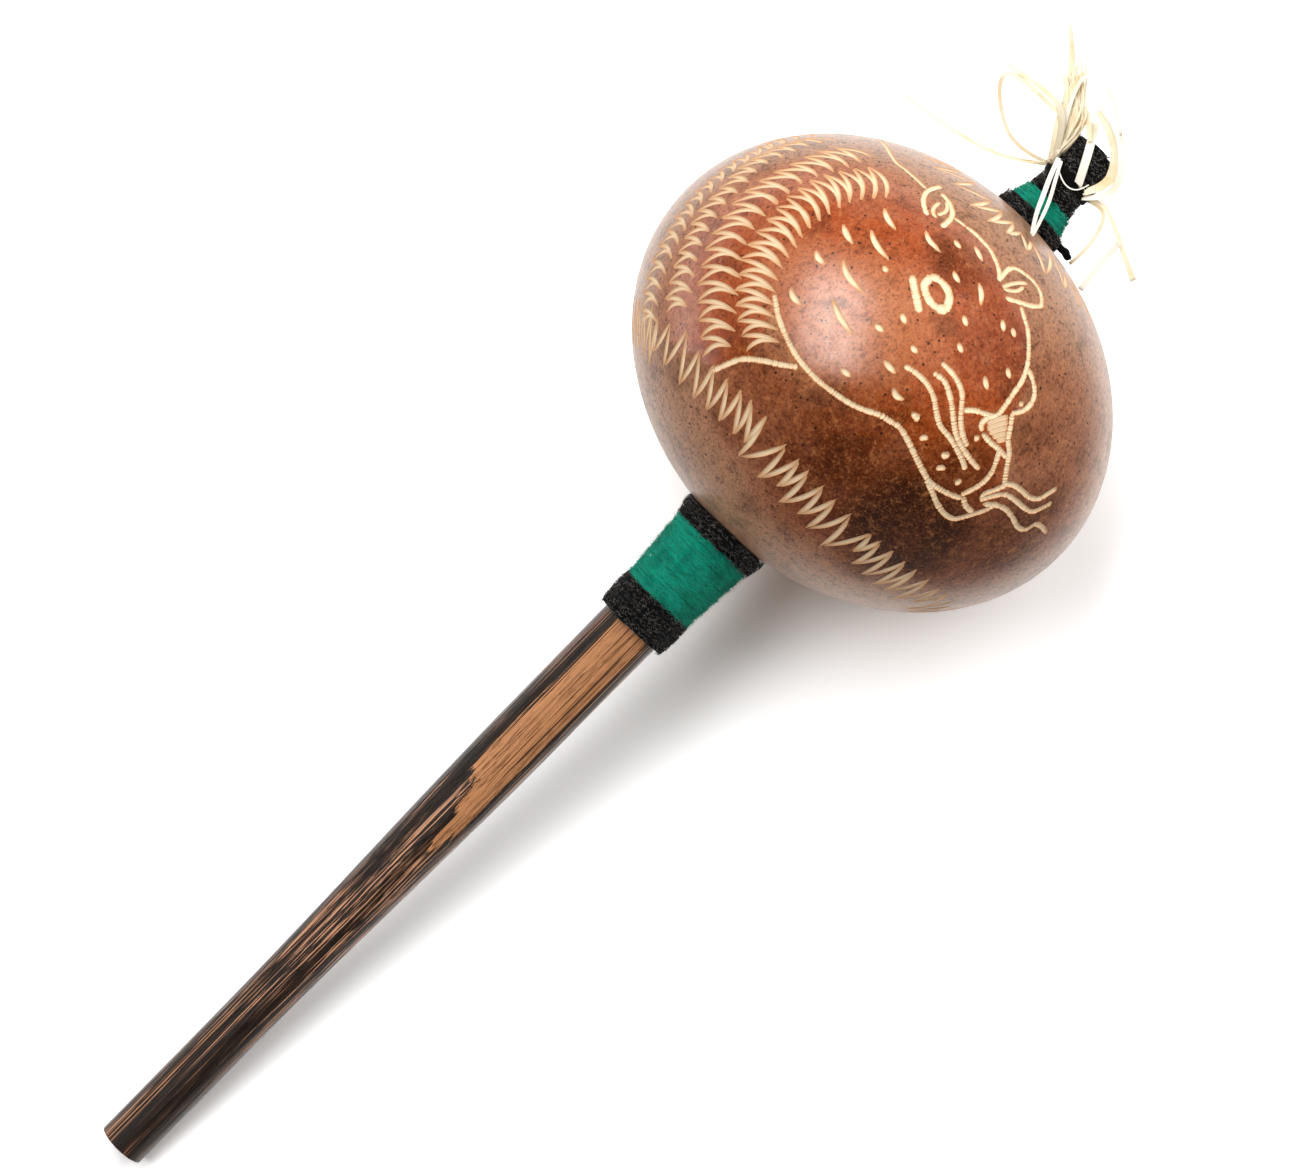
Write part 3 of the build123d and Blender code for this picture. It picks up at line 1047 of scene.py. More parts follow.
@dataclass(frozen=True)
class Gouge:
    """A round gouge and the way it is pushed.

    Attributes:
        radius: The edge's radius.
        depth: How deep it goes at most.
        step: Distance between the points of a cut.
        fullest: Where along a tapered cut it is deepest, from 0 to 1, or None for an even line.
        rock: Share of its radius by which the cut narrows between the gouge's steps.
        stride: The length of one step.
        strides, presses: The least and greatest share of a stride and of the rock that one step takes.
        lift: How far above the skin a cut starts and ends.
        run_in: The length in which an even line reaches its depth.
        taper: How slowly a tapered cut gets deep: a larger number gives thinner ends.
    """

    radius: float
    depth: float
    step: float = 0.45 * MM
    fullest: float | None = None
    rock: float = 0.0
    stride: float = 0.6 * MM
    lift: float = 0.04 * MM
    run_in: float = 1.6 * MM
    taper: float = 2.0
    strides: tuple[float, float] = (0.7, 1.3)
    presses: tuple[float, float] = (0.2, 1.5)

    def share(self, run: float, length: float) -> float:
        """Return how much of its depth the gouge has.

        Args:
            run: Distance along a cut.
            length: The cut's length.

        Returns:
            The share of its depth.
        """
        if self.fullest is None:
            return ease(run / self.run_in) * ease((length - run) / self.run_in)
        return math.sin(math.pi * (run / length) ** (math.log(0.5) / math.log(self.fullest))) ** self.taper

    def cut(self, surface: GourdSurface, marks: Sequence[Vector]) -> Run:
        """Return the line that the gouge's round edge follows for one cut.

        Args:
            surface: The gourd's surface.
            marks: Surface points that the cut goes through.

        Returns:
            The line, with the edge's radius at each point.
        """
        path = smooth_path(surface, marks, self.step)
        length = self.step * (len(path) - 1)
        chance = random.Random(len(path))
        points, scales = [], []
        beat, pressed = 0.0, 1.0
        for k, spot in enumerate(path):
            run = k * self.step
            depth = (self.depth + self.lift) * self.share(run, length) - self.lift
            points.append(spot + surface.normal(spot) * (self.radius - depth))
            scales.append(self.radius * (1 - self.rock * pressed * math.sin(math.pi * beat)))
            beat += self.step / self.stride
            if beat >= 1:
                beat -= chance.uniform(*self.strides)
                pressed = chance.uniform(*self.presses)
        return Run(points, scales, [0.0] * len(points))


@dataclass(frozen=True)
class FurRow:
    """A row of fur: one zigzag of bowed strokes between two lines of tips.

    Attributes:
        outer: Line of the tips away from the face, in points of the enlargement.
        inner: Line of the tips towards the face.
        teeth: How many tips each line has.
    """

    outer: Marks
    inner: Marks
    teeth: int


class Carving:
    """The carved figure and borders: where each cut goes, in points of the enlarged photograph.

    The figure is an animal's head with fur behind it. Two bands of zigzag run round the gourd.
    """

    OUTLINES: tuple[Marks, ...] = (
        ((474, 535), (480, 569), (487, 604), (501, 643), (522, 689), (547, 731), (579, 770), (614, 805),
         (656, 837), (699, 866), (741, 887), (802, 907)),
        ((800, 906), (836, 929), (861, 946), (886, 987), (910, 1037), (931, 1078), (951, 1111), (985, 1136),
         (1017, 1152), (1052, 1164)),
        ((943, 1105), (960, 1144), (976, 1181), (997, 1210), (1026, 1226), (1059, 1220), (1092, 1210),
         (1129, 1197), (1160, 1176)),
        ((1055, 1158), (1063, 1185), (1085, 1208)),
        ((1168, 1012), (1157, 1049), (1141, 1086), (1116, 1115), (1083, 1136), (1048, 1153)),
        ((1207, 899), (1201, 942), (1194, 983), (1197, 1024), (1190, 1066), (1184, 1107), (1182, 1130)),
        ((1057, 892), (1092, 893), (1129, 905), (1152, 911)),
        ((1114, 963), (1141, 992), (1166, 1012), (1190, 1040)),
        ((1233, 572), (1243, 607), (1254, 646), (1257, 707), (1252, 757), (1236, 802), (1211, 839),
         (1186, 876), (1162, 905), (1129, 917), (1112, 934), (1113, 955)),
        ((1254, 762), (1269, 798), (1275, 839), (1264, 872), (1240, 893), (1205, 902)),
        ((1064, 327), (1090, 347), (1113, 370), (1137, 397), (1153, 427), (1165, 460), (1167, 492)),
        ((1163, 492), (1180, 474), (1197, 457), (1220, 457), (1247, 474), (1273, 497), (1292, 527),
         (1298, 556)),
        ((1297, 548), (1294, 570), (1263, 570), (1230, 560), (1203, 552), (1186, 546)),
        ((546, 759), (493, 751), (434, 739), (375, 735), (328, 751), (283, 772)),
        ((988, 204), (963, 210), (943, 221), (933, 244), (937, 270), (946, 294)),
        ((989, 225), (1010, 250), (1022, 277), (1020, 297), (1007, 314), (988, 329)),
        ((1108, 1166), (1124, 1148), (1157, 1136), (1188, 1122)),
    )
    WHISKERS: tuple[Marks, ...] = (
        ((874, 755), (910, 777), (943, 810), (964, 851), (972, 893), (984, 938), (1013, 975), (1034, 1008),
         (1054, 1049), (1061, 1076)),
        ((964, 776), (997, 802), (1013, 843), (1021, 884), (1026, 926), (1034, 967), (1054, 1008),
         (1079, 1045), (1105, 1075)),
        ((989, 745), (1021, 777), (1042, 810), (1052, 843), (1050, 884), (1048, 926), (1054, 967),
         (1068, 1003)),
        ((1184, 1118), (1211, 1123), (1236, 1140), (1260, 1160), (1289, 1164), (1318, 1148), (1343, 1132)),
        ((1106, 1169), (1149, 1156), (1186, 1152), (1215, 1169), (1244, 1193), (1269, 1204), (1297, 1193),
         (1328, 1176)),
        ((1114, 1180), (1157, 1185), (1186, 1197), (1207, 1222), (1223, 1251), (1248, 1259), (1277, 1243),
         (1297, 1251), (1312, 1270)),
    )
    THIN_LINES: tuple[Marks, ...] = (
        ((795, 60), (840, 118), (880, 154), (910, 180), (944, 214)),
        ((1024, 299), (1047, 314), (1066, 330)),
        ((985, 252), (967, 267), (963, 284), (974, 303)),
        ((1002, 250), (1007, 270), (997, 284), (974, 292)),
        ((1174, 514), (1203, 504), (1230, 500), (1254, 502)),
        ((1176, 517), (1200, 524), (1223, 524), (1243, 512)),
    )
    NOSE_HATCH: tuple[Marks, ...] = (
        ((1128, 936), (1160, 922), (1194, 912)),
        ((1128, 950), (1160, 938), (1194, 928)),
        ((1134, 962), (1164, 953), (1192, 944)),
        ((1144, 974), (1168, 968), (1190, 961)),
        ((1156, 986), (1174, 982), (1188, 977)),
    )
    EYE: Marks = (
        (937, 504), (957, 484), (983, 493), (1006, 520), (1012, 550), (1003, 573), (980, 577), (958, 562),
        (942, 535)
    )
    EYE_BAR: Marks = ((898, 478), (905, 514), (912, 547), (921, 591))
    EYE_CORNER: Marks = ((1014, 535), (1012, 560), (1000, 582), (976, 588))
    DASHES: tuple[Marks, ...] = (
        ((811, 264), (820, 296), (836, 322), (858, 350)),
        ((684, 314), (692, 340), (704, 364), (724, 392)),
        ((770, 326), (780, 366), (802, 402), (842, 446)),
        ((602, 396), (610, 424), (638, 450)),
        ((685, 416), (692, 460), (713, 495), (766, 550)),
        ((524, 508), (533, 544), (568, 578)),
        ((648, 536), (670, 594), (692, 629), (734, 684)),
        ((937, 332), (950, 367), (970, 390), (996, 420)),
        ((1027, 368), (1038, 382), (1050, 398)),
        ((1088, 383), (1103, 410), (1118, 443)),
        ((1025, 463), (1033, 482), (1047, 506)),
        ((1101, 492), (1111, 530), (1110, 554), (1107, 583)),
        ((1057, 599), (1061, 617), (1068, 638)),
        ((1176, 612), (1178, 630), (1180, 655)),
        ((1207, 638), (1210, 652), (1214, 670)),
        ((1191, 760), (1195, 780), (1200, 798)),
        ((1121, 784), (1125, 808), (1132, 836)),
        ((1041, 684), (1046, 700), (1054, 718)),
        ((840, 818), (850, 848), (882, 862)),
        ((678, 760), (692, 774), (714, 792)),
        ((808, 734), (828, 758), (854, 786)),
        ((866, 592), (872, 610), (880, 630)),
        ((783, 626), (796, 638), (814, 653)),
        ((896, 692), (904, 704), (916, 718)),
        ((812, 450), (816, 458), (820, 468)),
        ((922, 984), (935, 975), (948, 984)),
        ((900, 900), (906, 909), (908, 920)),
        ((914, 902), (913, 914), (909, 928)),
        ((994, 1022), (997, 1032), (1000, 1043)),
        ((1006, 1022), (1005, 1031), (1003, 1040)),
        ((972, 1076), (987, 1068), (1002, 1077)),
        ((1034, 1122), (1040, 1112), (1051, 1107)),
        ((1094, 985), (1097, 977), (1103, 971)),
        ((1230, 876), (1234, 872), (1238, 868)),
    )
    FUR_ROWS: tuple[FurRow, ...] = (
        FurRow(
            ((387, 716), (371, 660), (358, 621), (354, 582), (350, 529), (362, 482), (375, 405), (434, 324),
             (495, 250), (584, 181), (668, 156), (801, 140)),
            ((493, 706), (486, 645), (476, 609), (474, 570), (483, 511), (497, 464), (536, 405), (571, 349),
             (648, 291), (709, 255), (778, 245), (830, 243)),
            18,
        ),
        FurRow(
            ((254, 733), (246, 676), (240, 635), (238, 584), (232, 543), (245, 461), (260, 395), (296, 324),
             (357, 240), (444, 176), (525, 133), (594, 99), (704, 82)),
            ((324, 715), (356, 686), (355, 637), (360, 594), (362, 553), (371, 508), (388, 388), (429, 321),
             (490, 260), (556, 201), (620, 173), (709, 145), (780, 110)),
            17,
        ),
        FurRow(
            ((142, 598), (136, 566), (146, 516), (166, 441), (199, 357), (240, 275), (293, 222), (344, 161),
             (423, 107), (505, 71), (600, 52)),
            ((212, 600), (206, 564), (223, 536), (240, 426), (270, 354), (327, 260), (383, 207), (444, 143),
             (510, 112), (594, 79), (686, 64)),
            17,
        ),
        FurRow(
            ((62, 640), (66, 560), (82, 480), (112, 400), (152, 325), (200, 255), (262, 190), (330, 135),
             (404, 92), (480, 58), (552, 38)),
            ((114, 650), (118, 570), (134, 500), (160, 430), (196, 352), (240, 272), (298, 205), (362, 150),
             (436, 104), (516, 72), (600, 50)),
            18,
        ),
    )
    LOWER_TIPS: Marks = (
        (118, 600), (100, 717), (156, 617), (132, 763), (209, 637), (179, 818), (246, 703), (222, 861),
        (291, 746), (263, 896), (332, 789), (301, 930), (375, 823), (346, 971), (405, 852), (379, 998),
        (454, 907), (358, 1034), (517, 994), (418, 1101), (556, 1038), (478, 1128), (584, 1075), (483, 1176),
        (629, 1120), (540, 1212), (666, 1163), (567, 1254), (713, 1206), (611, 1309), (776, 1268),
        (712, 1328), (804, 1293), (707, 1365), (845, 1321), (736, 1398), (882, 1353), (768, 1428),
        (917, 1378), (806, 1446), (955, 1409), (831, 1472), (989, 1437), (891, 1483), (1011, 1455),
        (913, 1501), (1040, 1476),
    )
    UPPER_TIPS: Marks = (
        (1026, 195), (1141, 248), (1073, 260), (1174, 280), (1127, 310), (1209, 314), (1186, 347),
        (1231, 344), (1250, 400), (1262, 372), (1307, 476),
    )

    line_gouge = Gouge(0.9 * MM, 0.45 * MM, step=0.16 * MM, rock=0.14, run_in=0.7 * MM)
    whisker_gouge = Gouge(0.9 * MM, 0.43 * MM, step=0.16 * MM, rock=0.14, run_in=0.8 * MM)
    thin_gouge = Gouge(0.7 * MM, 0.3 * MM, step=0.3 * MM, run_in=1.0 * MM)
    hatch_gouge = Gouge(1.4 * MM, 0.3 * MM, step=0.4 * MM, run_in=0.8 * MM)
    eye_gouge = Gouge(1.4 * MM, 0.55 * MM, step=0.2 * MM, rock=0.1, run_in=0.8 * MM)
    fur_gouge = Gouge(0.85 * MM, 0.31 * MM, step=0.4 * MM, fullest=0.5, taper=1.1)
    tooth_gouge = Gouge(0.95 * MM, 0.33 * MM, step=0.5 * MM, fullest=0.55, taper=1.4)
    faint_gouge = Gouge(0.8 * MM, 0.36 * MM, fullest=0.55, taper=1.2)
    dash_gouge = Gouge(0.85 * MM, 0.46 * MM, step=0.3 * MM, fullest=0.45)
    fur_bows = (0.2, 0.11)
    tooth_bows = (0.05, 0.05)
    lower_band = (-34.0 * MM, -24.0 * MM)
    lower_pitch = math.radians(5.2)
    upper_band = (42.2 * MM, 46.2 * MM)
    upper_pitch = math.radians(13.0)
    seed = 7

    HEAD: Marks = (
        (478, 540), (490, 600), (510, 660), (545, 720), (590, 790), (650, 845), (720, 885), (790, 910),
        (840, 935), (870, 970), (905, 1020), (930, 1075), (965, 1165), (1040, 1225), (1130, 1190),
        (1190, 1130), (1205, 950), (1240, 820), (1260, 700), (1240, 575), (1195, 550), (1168, 490),
        (1145, 400), (1060, 320), (990, 320), (940, 215), (840, 120), (780, 40), (560, 60), (300, 180),
        (150, 360), (60, 640), (290, 760), (420, 720)
    )
    # Painted highlight: amber pools where the key lamp's sheen falls on the face.
    SHEEN_TINTS: tuple[Pool, ...] = (
        ((700, 630), 15 * MM, 0.5), ((860, 620), 11 * MM, 0.3), ((560, 480), 9 * MM, 0.3)
    )
    # Brown pools, mostly on the lower side: partly darker stain, partly painted shade.
    SHADES: tuple[Pool, ...] = (
        ((690, 1100), 20 * MM, 1.0), ((860, 1200), 20 * MM, 1.0), ((1060, 1330), 16 * MM, 0.8),
        ((430, 880), 13 * MM, 0.8), ((1360, 960), 16 * MM, 0.55), ((1000, 1060), 10 * MM, 0.8),
        ((1330, 1200), 14 * MM, 0.6)
    )
    # Near-black pools, darkest below the chin: partly darker stain, partly painted shade.
    SOOT_AND_SHADE_POOLS: tuple[Pool, ...] = (
        ((880, 1270), 15 * MM, 1.0), ((650, 1110), 12 * MM, 0.5), ((1045, 440), 7 * MM, 0.5),
        ((1180, 700), 9 * MM, 0.3), ((1060, 1090), 7 * MM, 0.55), ((1190, 1290), 12 * MM, 0.5)
    )

    def __init__(self, surface: GourdSurface, camera: PhotoCamera) -> None:
        """Take what the figure is carved on and seen with.

        Args:
            surface: The gourd's surface.
            camera: The camera of the photograph.
        """
        self.surface = surface
        self.camera = camera
        self.chance = random.Random(self.seed)

    def stain(self, mesh: bpy.types.Mesh) -> None:
        """Keep on the gourd's mesh the masks of the figure's stain, a painted highlight and pools of partly
        painted shade.

        Args:
            mesh: The carved gourd's mesh.
        """
        pools = {"sheen_tint": self.SHEEN_TINTS, "shade": self.SHADES, "soot_and_shade": self.SOOT_AND_SHADE_POOLS}
        masks = {"face": self._face} | {name: self._pools(laid_pools) for name, laid_pools in pools.items()}
        for name, mask in masks.items():
            kept = mesh.attributes.new(name, "FLOAT", "POINT")
            kept.data.foreach_set("value", [mask(vertex.co) for vertex in mesh.vertices])

    def _face(self, point: Vector) -> float:
        """Return how red the stain inside the figure is at a point.

        Args:
            point: A point of the gourd.

        Returns:
            The stain's strength, from 0 to 1.
        """
        facing = self.surface.normal(point).dot((self.camera.place - point).normalized())
        x, y = self.camera.mark(point)
        inside = False
        for (ax, ay), (bx, by) in zip(self.HEAD, (*self.HEAD[1:], self.HEAD[0])):
            if (ay > y) != (by > y) and x < ax + (y - ay) / (by - ay) * (bx - ax):
                inside = not inside
        # The red fades to grey where the skin turns from the camera: at the rims, partly a painted
        # reflection.
        start, growth, beyond = 0.25, 0.5, 0.25
        return ease((facing - start) / growth) * (1.0 if inside else beyond)

    def _pools(self, laid_pools: Sequence[Pool]) -> Callable[[Vector], float]:
        """Return how strong the darkest of some round pools is, as a function of a point.

        Args:
            laid_pools: Middle, radius and strength of each pool.

        Returns:
            The function.
        """
        middles = self.camera.guide(self.surface, [stain[0] for stain in laid_pools])
        reach = 1.6

        def strength(point: Vector) -> float:
            """Return how strong the stain is.

            Args:
                point: A point.

            Returns:
                The strength there.
            """
            return max(
                most * ease(reach - (middle - point).length / radius)
                for middle, (_, radius, most) in zip(middles, laid_pools)
            )

        return strength

    def cuts(self) -> list[Run]:
        """Return every cut of the carving.

        Returns:
            The cuts, in the order in which they are made.
        """
        made = [self._drawn(self.line_gouge, marks) for marks in self.OUTLINES]
        made += [self._drawn(self.whisker_gouge, marks) for marks in self.WHISKERS]
        made += [self._drawn(self.thin_gouge, marks) for marks in self.THIN_LINES]
        made += [self._drawn(self.hatch_gouge, marks) for marks in self.NOSE_HATCH]
        halfway = len(self.EYE) // 2
        lids = (self.EYE[: halfway + 2], (*self.EYE[halfway:], *self.EYE[:2]))
        for marks in (*lids, self.EYE_BAR, self.EYE_CORNER):
            made.append(self._drawn(self.eye_gouge, marks))
        made += [self._drawn(self.dash_gouge, marks) for marks in self.DASHES]
        for row in self.FUR_ROWS:
            made += self._zigzag(self.fur_gouge, self._fur_tips(row), self.fur_bows)
        for seen, band, pitch, gouge in (
            (self.LOWER_TIPS, self.lower_band, self.lower_pitch, self.tooth_gouge),
            (self.UPPER_TIPS, self.upper_band, self.upper_pitch, self.faint_gouge),
        ):
            tips = self.camera.guide(self.surface, seen)
            ring = [*tips, *self._rest_of_ring(tips, band, pitch), *tips[:2]]
            made += self._zigzag(gouge, ring, self.tooth_bows)
        return made

    def _drawn(self, gouge: Gouge, marks: Sequence[Pixel]) -> Run:
        """Return a cut along points of the enlargement."""
        return gouge.cut(self.surface, self.camera.guide(self.surface, marks))

    def _fur_tips(self, row: FurRow) -> list[Vector]:
        """Return a row's tips, from one line to the other and back.

        Args:
            row: The row of fur.

        Returns:
            Surface points.
        """
        lines = []
        for marks in (row.outer, row.inner):
            guides = self.camera.guide(self.surface, marks)
            length = sum((b - a).length for a, b in zip(guides, guides[1:]))
            lines.append(smooth_path(self.surface, guides, length / (2 * row.teeth)))
        return [pair[number % 2] for number, pair in enumerate(zip(*lines))]

    def _zigzag(self, gouge: Gouge, tips: Sequence[Vector], bows: tuple[float, float]) -> list[Run]:
        """Return strokes from tip to tip.

        Args:
            gouge: What they are cut with.
            tips: Surface points, one side and the other by turns.
            bows: How far the strokes out and back bulge along the row, as a share of their length.

        Returns:
            A cut for each stroke.
        """
        overrun, near, far, least, most = 0.07, 0.33, 0.67, 0.8, 1.2
        made = []
        for number in range(len(tips) - 2):
            start, end, later = tips[number : number + 3]
            ahead = (later - start).normalized()
            stroke = end - start
            bulge = ahead * stroke.length * bows[number % 2] * self.chance.uniform(least, most)
            marks = [start - stroke * overrun, start + stroke * near + bulge]
            marks += [start + stroke * far + bulge, end + stroke * overrun]
            made.append(gouge.cut(self.surface, [self.surface.settle(mark) for mark in marks]))
        return made

    def _rest_of_ring(self, tips: Sequence[Vector], band: tuple[float, float], pitch: float) -> list[Vector]:
        """Carry a ring of zigzag on round the side that the photograph does not show.

        Args:
            tips: The tips that it shows, one side and the other by turns.
            band: Stations of the two sides.
            pitch: The turn from one tooth to the next.

        Returns:
            The other tips, up to the first one shown.
        """
        def turn(point: Vector) -> float:
            """Return a point's turn from the top towards the far side."""
            away = point - self.surface.centre
            return math.atan2(away.dot(self.surface.line.side), away.dot(self.surface.line.up))

        first, last = turn(tips[0]), turn(tips[-1])
        onward = -1 if (turn(tips[2]) - first + math.pi) % (2 * math.pi) < math.pi else 1
        gap = (first - last) * onward % (2 * math.pi)
        steps = int(2 * gap / pitch)
        steps += (len(tips) + steps + 1) % 2
        lower_first = (tips[-1] - self.surface.centre).dot(self.surface.line.way) > sum(band) / 2
        along, round_it = 0.8, 0.12
        made = []
        for number in range(1, steps):
            station = band[(number + lower_first) % 2] + self.chance.uniform(-along, along) * MM
            wander = self.chance.uniform(-round_it, round_it) * pitch
            made.append(self.surface.place(station, last + onward * (gap * number / steps + wander)))
        return made


@dataclass
class CarvedGourd:
    """The gourd: a hollow shell with its carving cut into it.

    Attributes:
        surface: Its outer surface.
        carving: The cuts.
        skin, flesh: Its finishes.
        wall: Thickness of the shell.
        hole_radii: Radii of the holes at the handle's end and the tip's end, hidden by the bindings.
        turns: Steps round the shell.
        rows: Steps from hole to hole outside, and inside.
        cut_sides: Sides of the round gouge's edge.
        cut_gap: The room between two cuts that are made together.
    """

    surface: GourdSurface
    carving: Carving
    skin: GourdSkin
    flesh: GourdFlesh
    wall: float = 3.5 * MM
    hole_radii: tuple[float, float] = (9.0 * MM, 5.8 * MM)
    turns: int = 180
    rows: tuple[int, int] = (90, 24)
    cut_sides: int = 10
    cut_gap: float = 0.3 * MM

    def build(self) -> bpy.types.Object:
        """Make the shell, cut the carving and dress it.

        Returns:
            The gourd.
        """
        mesh = self._shell()
        holder = put("carved_gourd_blank", mesh)
        cutters = []
        for number, layer in enumerate(self._layers(self.carving.cuts())):
            cutter_mesh = sweep(f"cuts_{number}", layer, Section.ROUND, self.cut_sides)
            for polygon in cutter_mesh.polygons:
                polygon.material_index = 1
            cutter = put(f"cuts_{number}", cutter_mesh)
            cutters.append(cutter)
            modifier = holder.modifiers.new(cutter.name, "BOOLEAN")
            modifier.operation = "DIFFERENCE"
            modifier.solver = "MANIFOLD"
            modifier.object = cutter
        for owner in (holder, *cutters):
            for _ in (self.skin, self.flesh):
                owner.data.materials.append(None)
        bpy.context.view_layer.update()
        carved = bpy.data.meshes.new_from_object(holder.evaluated_get(bpy.context.evaluated_depsgraph_get()))
        carved.name = "carved_gourd"
        for owner in (holder, *cutters):
            used = owner.data
            bpy.data.objects.remove(owner)
            bpy.data.meshes.remove(used)
        materials = [self.skin.material(), self.flesh.material()]
        piece = add_piece("carved_gourd", carved, materials, ["gourd_shell"])
        self._set_normals(carved)
        self.carving.stain(carved)
        return piece

    def _shell(self) -> bpy.types.Mesh:
        """Spin the wall's profile round the gourd's axis and flatten its foot.

        Returns:
            The shell before it is carved.
        """
        line, surface = self.surface.line, self.surface
        shape = bmesh.new()
        loop = []
        walls = ((surface.half, surface.radius), (surface.half - self.wall, surface.radius - self.wall))
        for (half, radius), steps, backwards in zip(walls, self.rows, (False, True)):
            first = math.pi - math.asin(self.hole_radii[0] / radius)
            last = math.asin(self.hole_radii[1] / radius)
            for k in range(steps + 1):
                share = 1 - k / steps if backwards else k / steps
                turn = first + (last - first) * share
                place = line.way * math.cos(turn) * half + line.up * math.sin(turn) * radius
                loop.append(shape.verts.new(surface.centre + place))
        edges = [shape.edges.new(pair) for pair in zip(loop, [*loop[1:], loop[0]])]
        bmesh.ops.spin(
            shape,
            geom=[*loop, *edges],
            cent=surface.centre,
            axis=line.way,
            angle=2 * math.pi,
            steps=self.turns,
            use_merge=True,
        )
        bmesh.ops.remove_doubles(shape, verts=shape.verts, dist=SPIN_WELD)
        everything = [*shape.verts, *shape.edges, *shape.faces]
        foot = bmesh.ops.bisect_plane(
            shape, geom=everything, plane_co=(0, 0, 0), plane_no=(0, 0, -1), clear_outer=True
        )
        rim = [item for item in foot["geom_cut"] if isinstance(item, bmesh.types.BMEdge)]
        bmesh.ops.edgeloop_fill(shape, edges=rim)
        bmesh.ops.recalc_face_normals(shape, faces=shape.faces)
        mesh = bpy.data.meshes.new("gourd_blank")
        shape.to_mesh(mesh)
        shape.free()
        return mesh

    def _layers(self, cuts: Sequence[Run]) -> list[list[Run]]:
        """Sort cuts into layers in which no two cuts touch.

        Args:
            cuts: Every cut.

        Returns:
            The cuts of each layer, which are made together.
        """
        boxes = []
        for cut in cuts:
            low = [min(p[i] for p in cut.points) - cut.scales[0] for i in range(3)]
            high = [max(p[i] for p in cut.points) + cut.scales[0] for i in range(3)]
            boxes.append((low, high))

        def touch(a: int, b: int) -> bool:
            """Return whether two cuts touch.

            Args:
                a, b: The cuts' numbers.

            Returns:
                Whether they touch.
            """
            if any(boxes[a][0][i] > boxes[b][1][i] or boxes[b][0][i] > boxes[a][1][i] for i in range(3)):
                return False
            limit = (cuts[a].scales[0] + cuts[b].scales[0] + self.cut_gap) ** 2
            return any((p - q).length_squared < limit for p in cuts[a].points for q in cuts[b].points)

        layers: list[list[int]] = []
        for number in range(len(cuts)):
            for layer in layers:
                if not any(touch(number, other) for other in layer):
                    layer.append(number)
                    break
            else:
                layers.append([number])
        log.info("carving: %d cuts in %d layers", len(cuts), len(layers))
        return [[cuts[number] for number in layer] for layer in layers]

    def _set_normals(self, mesh: bpy.types.Mesh) -> None:
        """Shade the skin as the smooth ellipsoid that it is, up to the edge of each cut.

        Args:
            mesh: The carved gourd's mesh.
        """
        mesh.shade_smooth()
        sharp, off_skin = math.radians(28), 5e-4
        mesh.set_sharp_from_angle(angle=sharp)
        on_skin = [
            abs(self.surface.unit(vertex.co - self.surface.centre).length - 1) < off_skin
            for vertex in mesh.vertices
        ]
        normals = [Vector((0, 0, 0))] * len(mesh.loops)
        for polygon in mesh.polygons:
            if polygon.material_index == 0 and all(on_skin[v] for v in polygon.vertices):
                for number, vertex in zip(polygon.loop_indices, polygon.vertices):
                    normals[number] = self.surface.normal(mesh.vertices[vertex].co)
        mesh.normals_split_custom_set(normals)


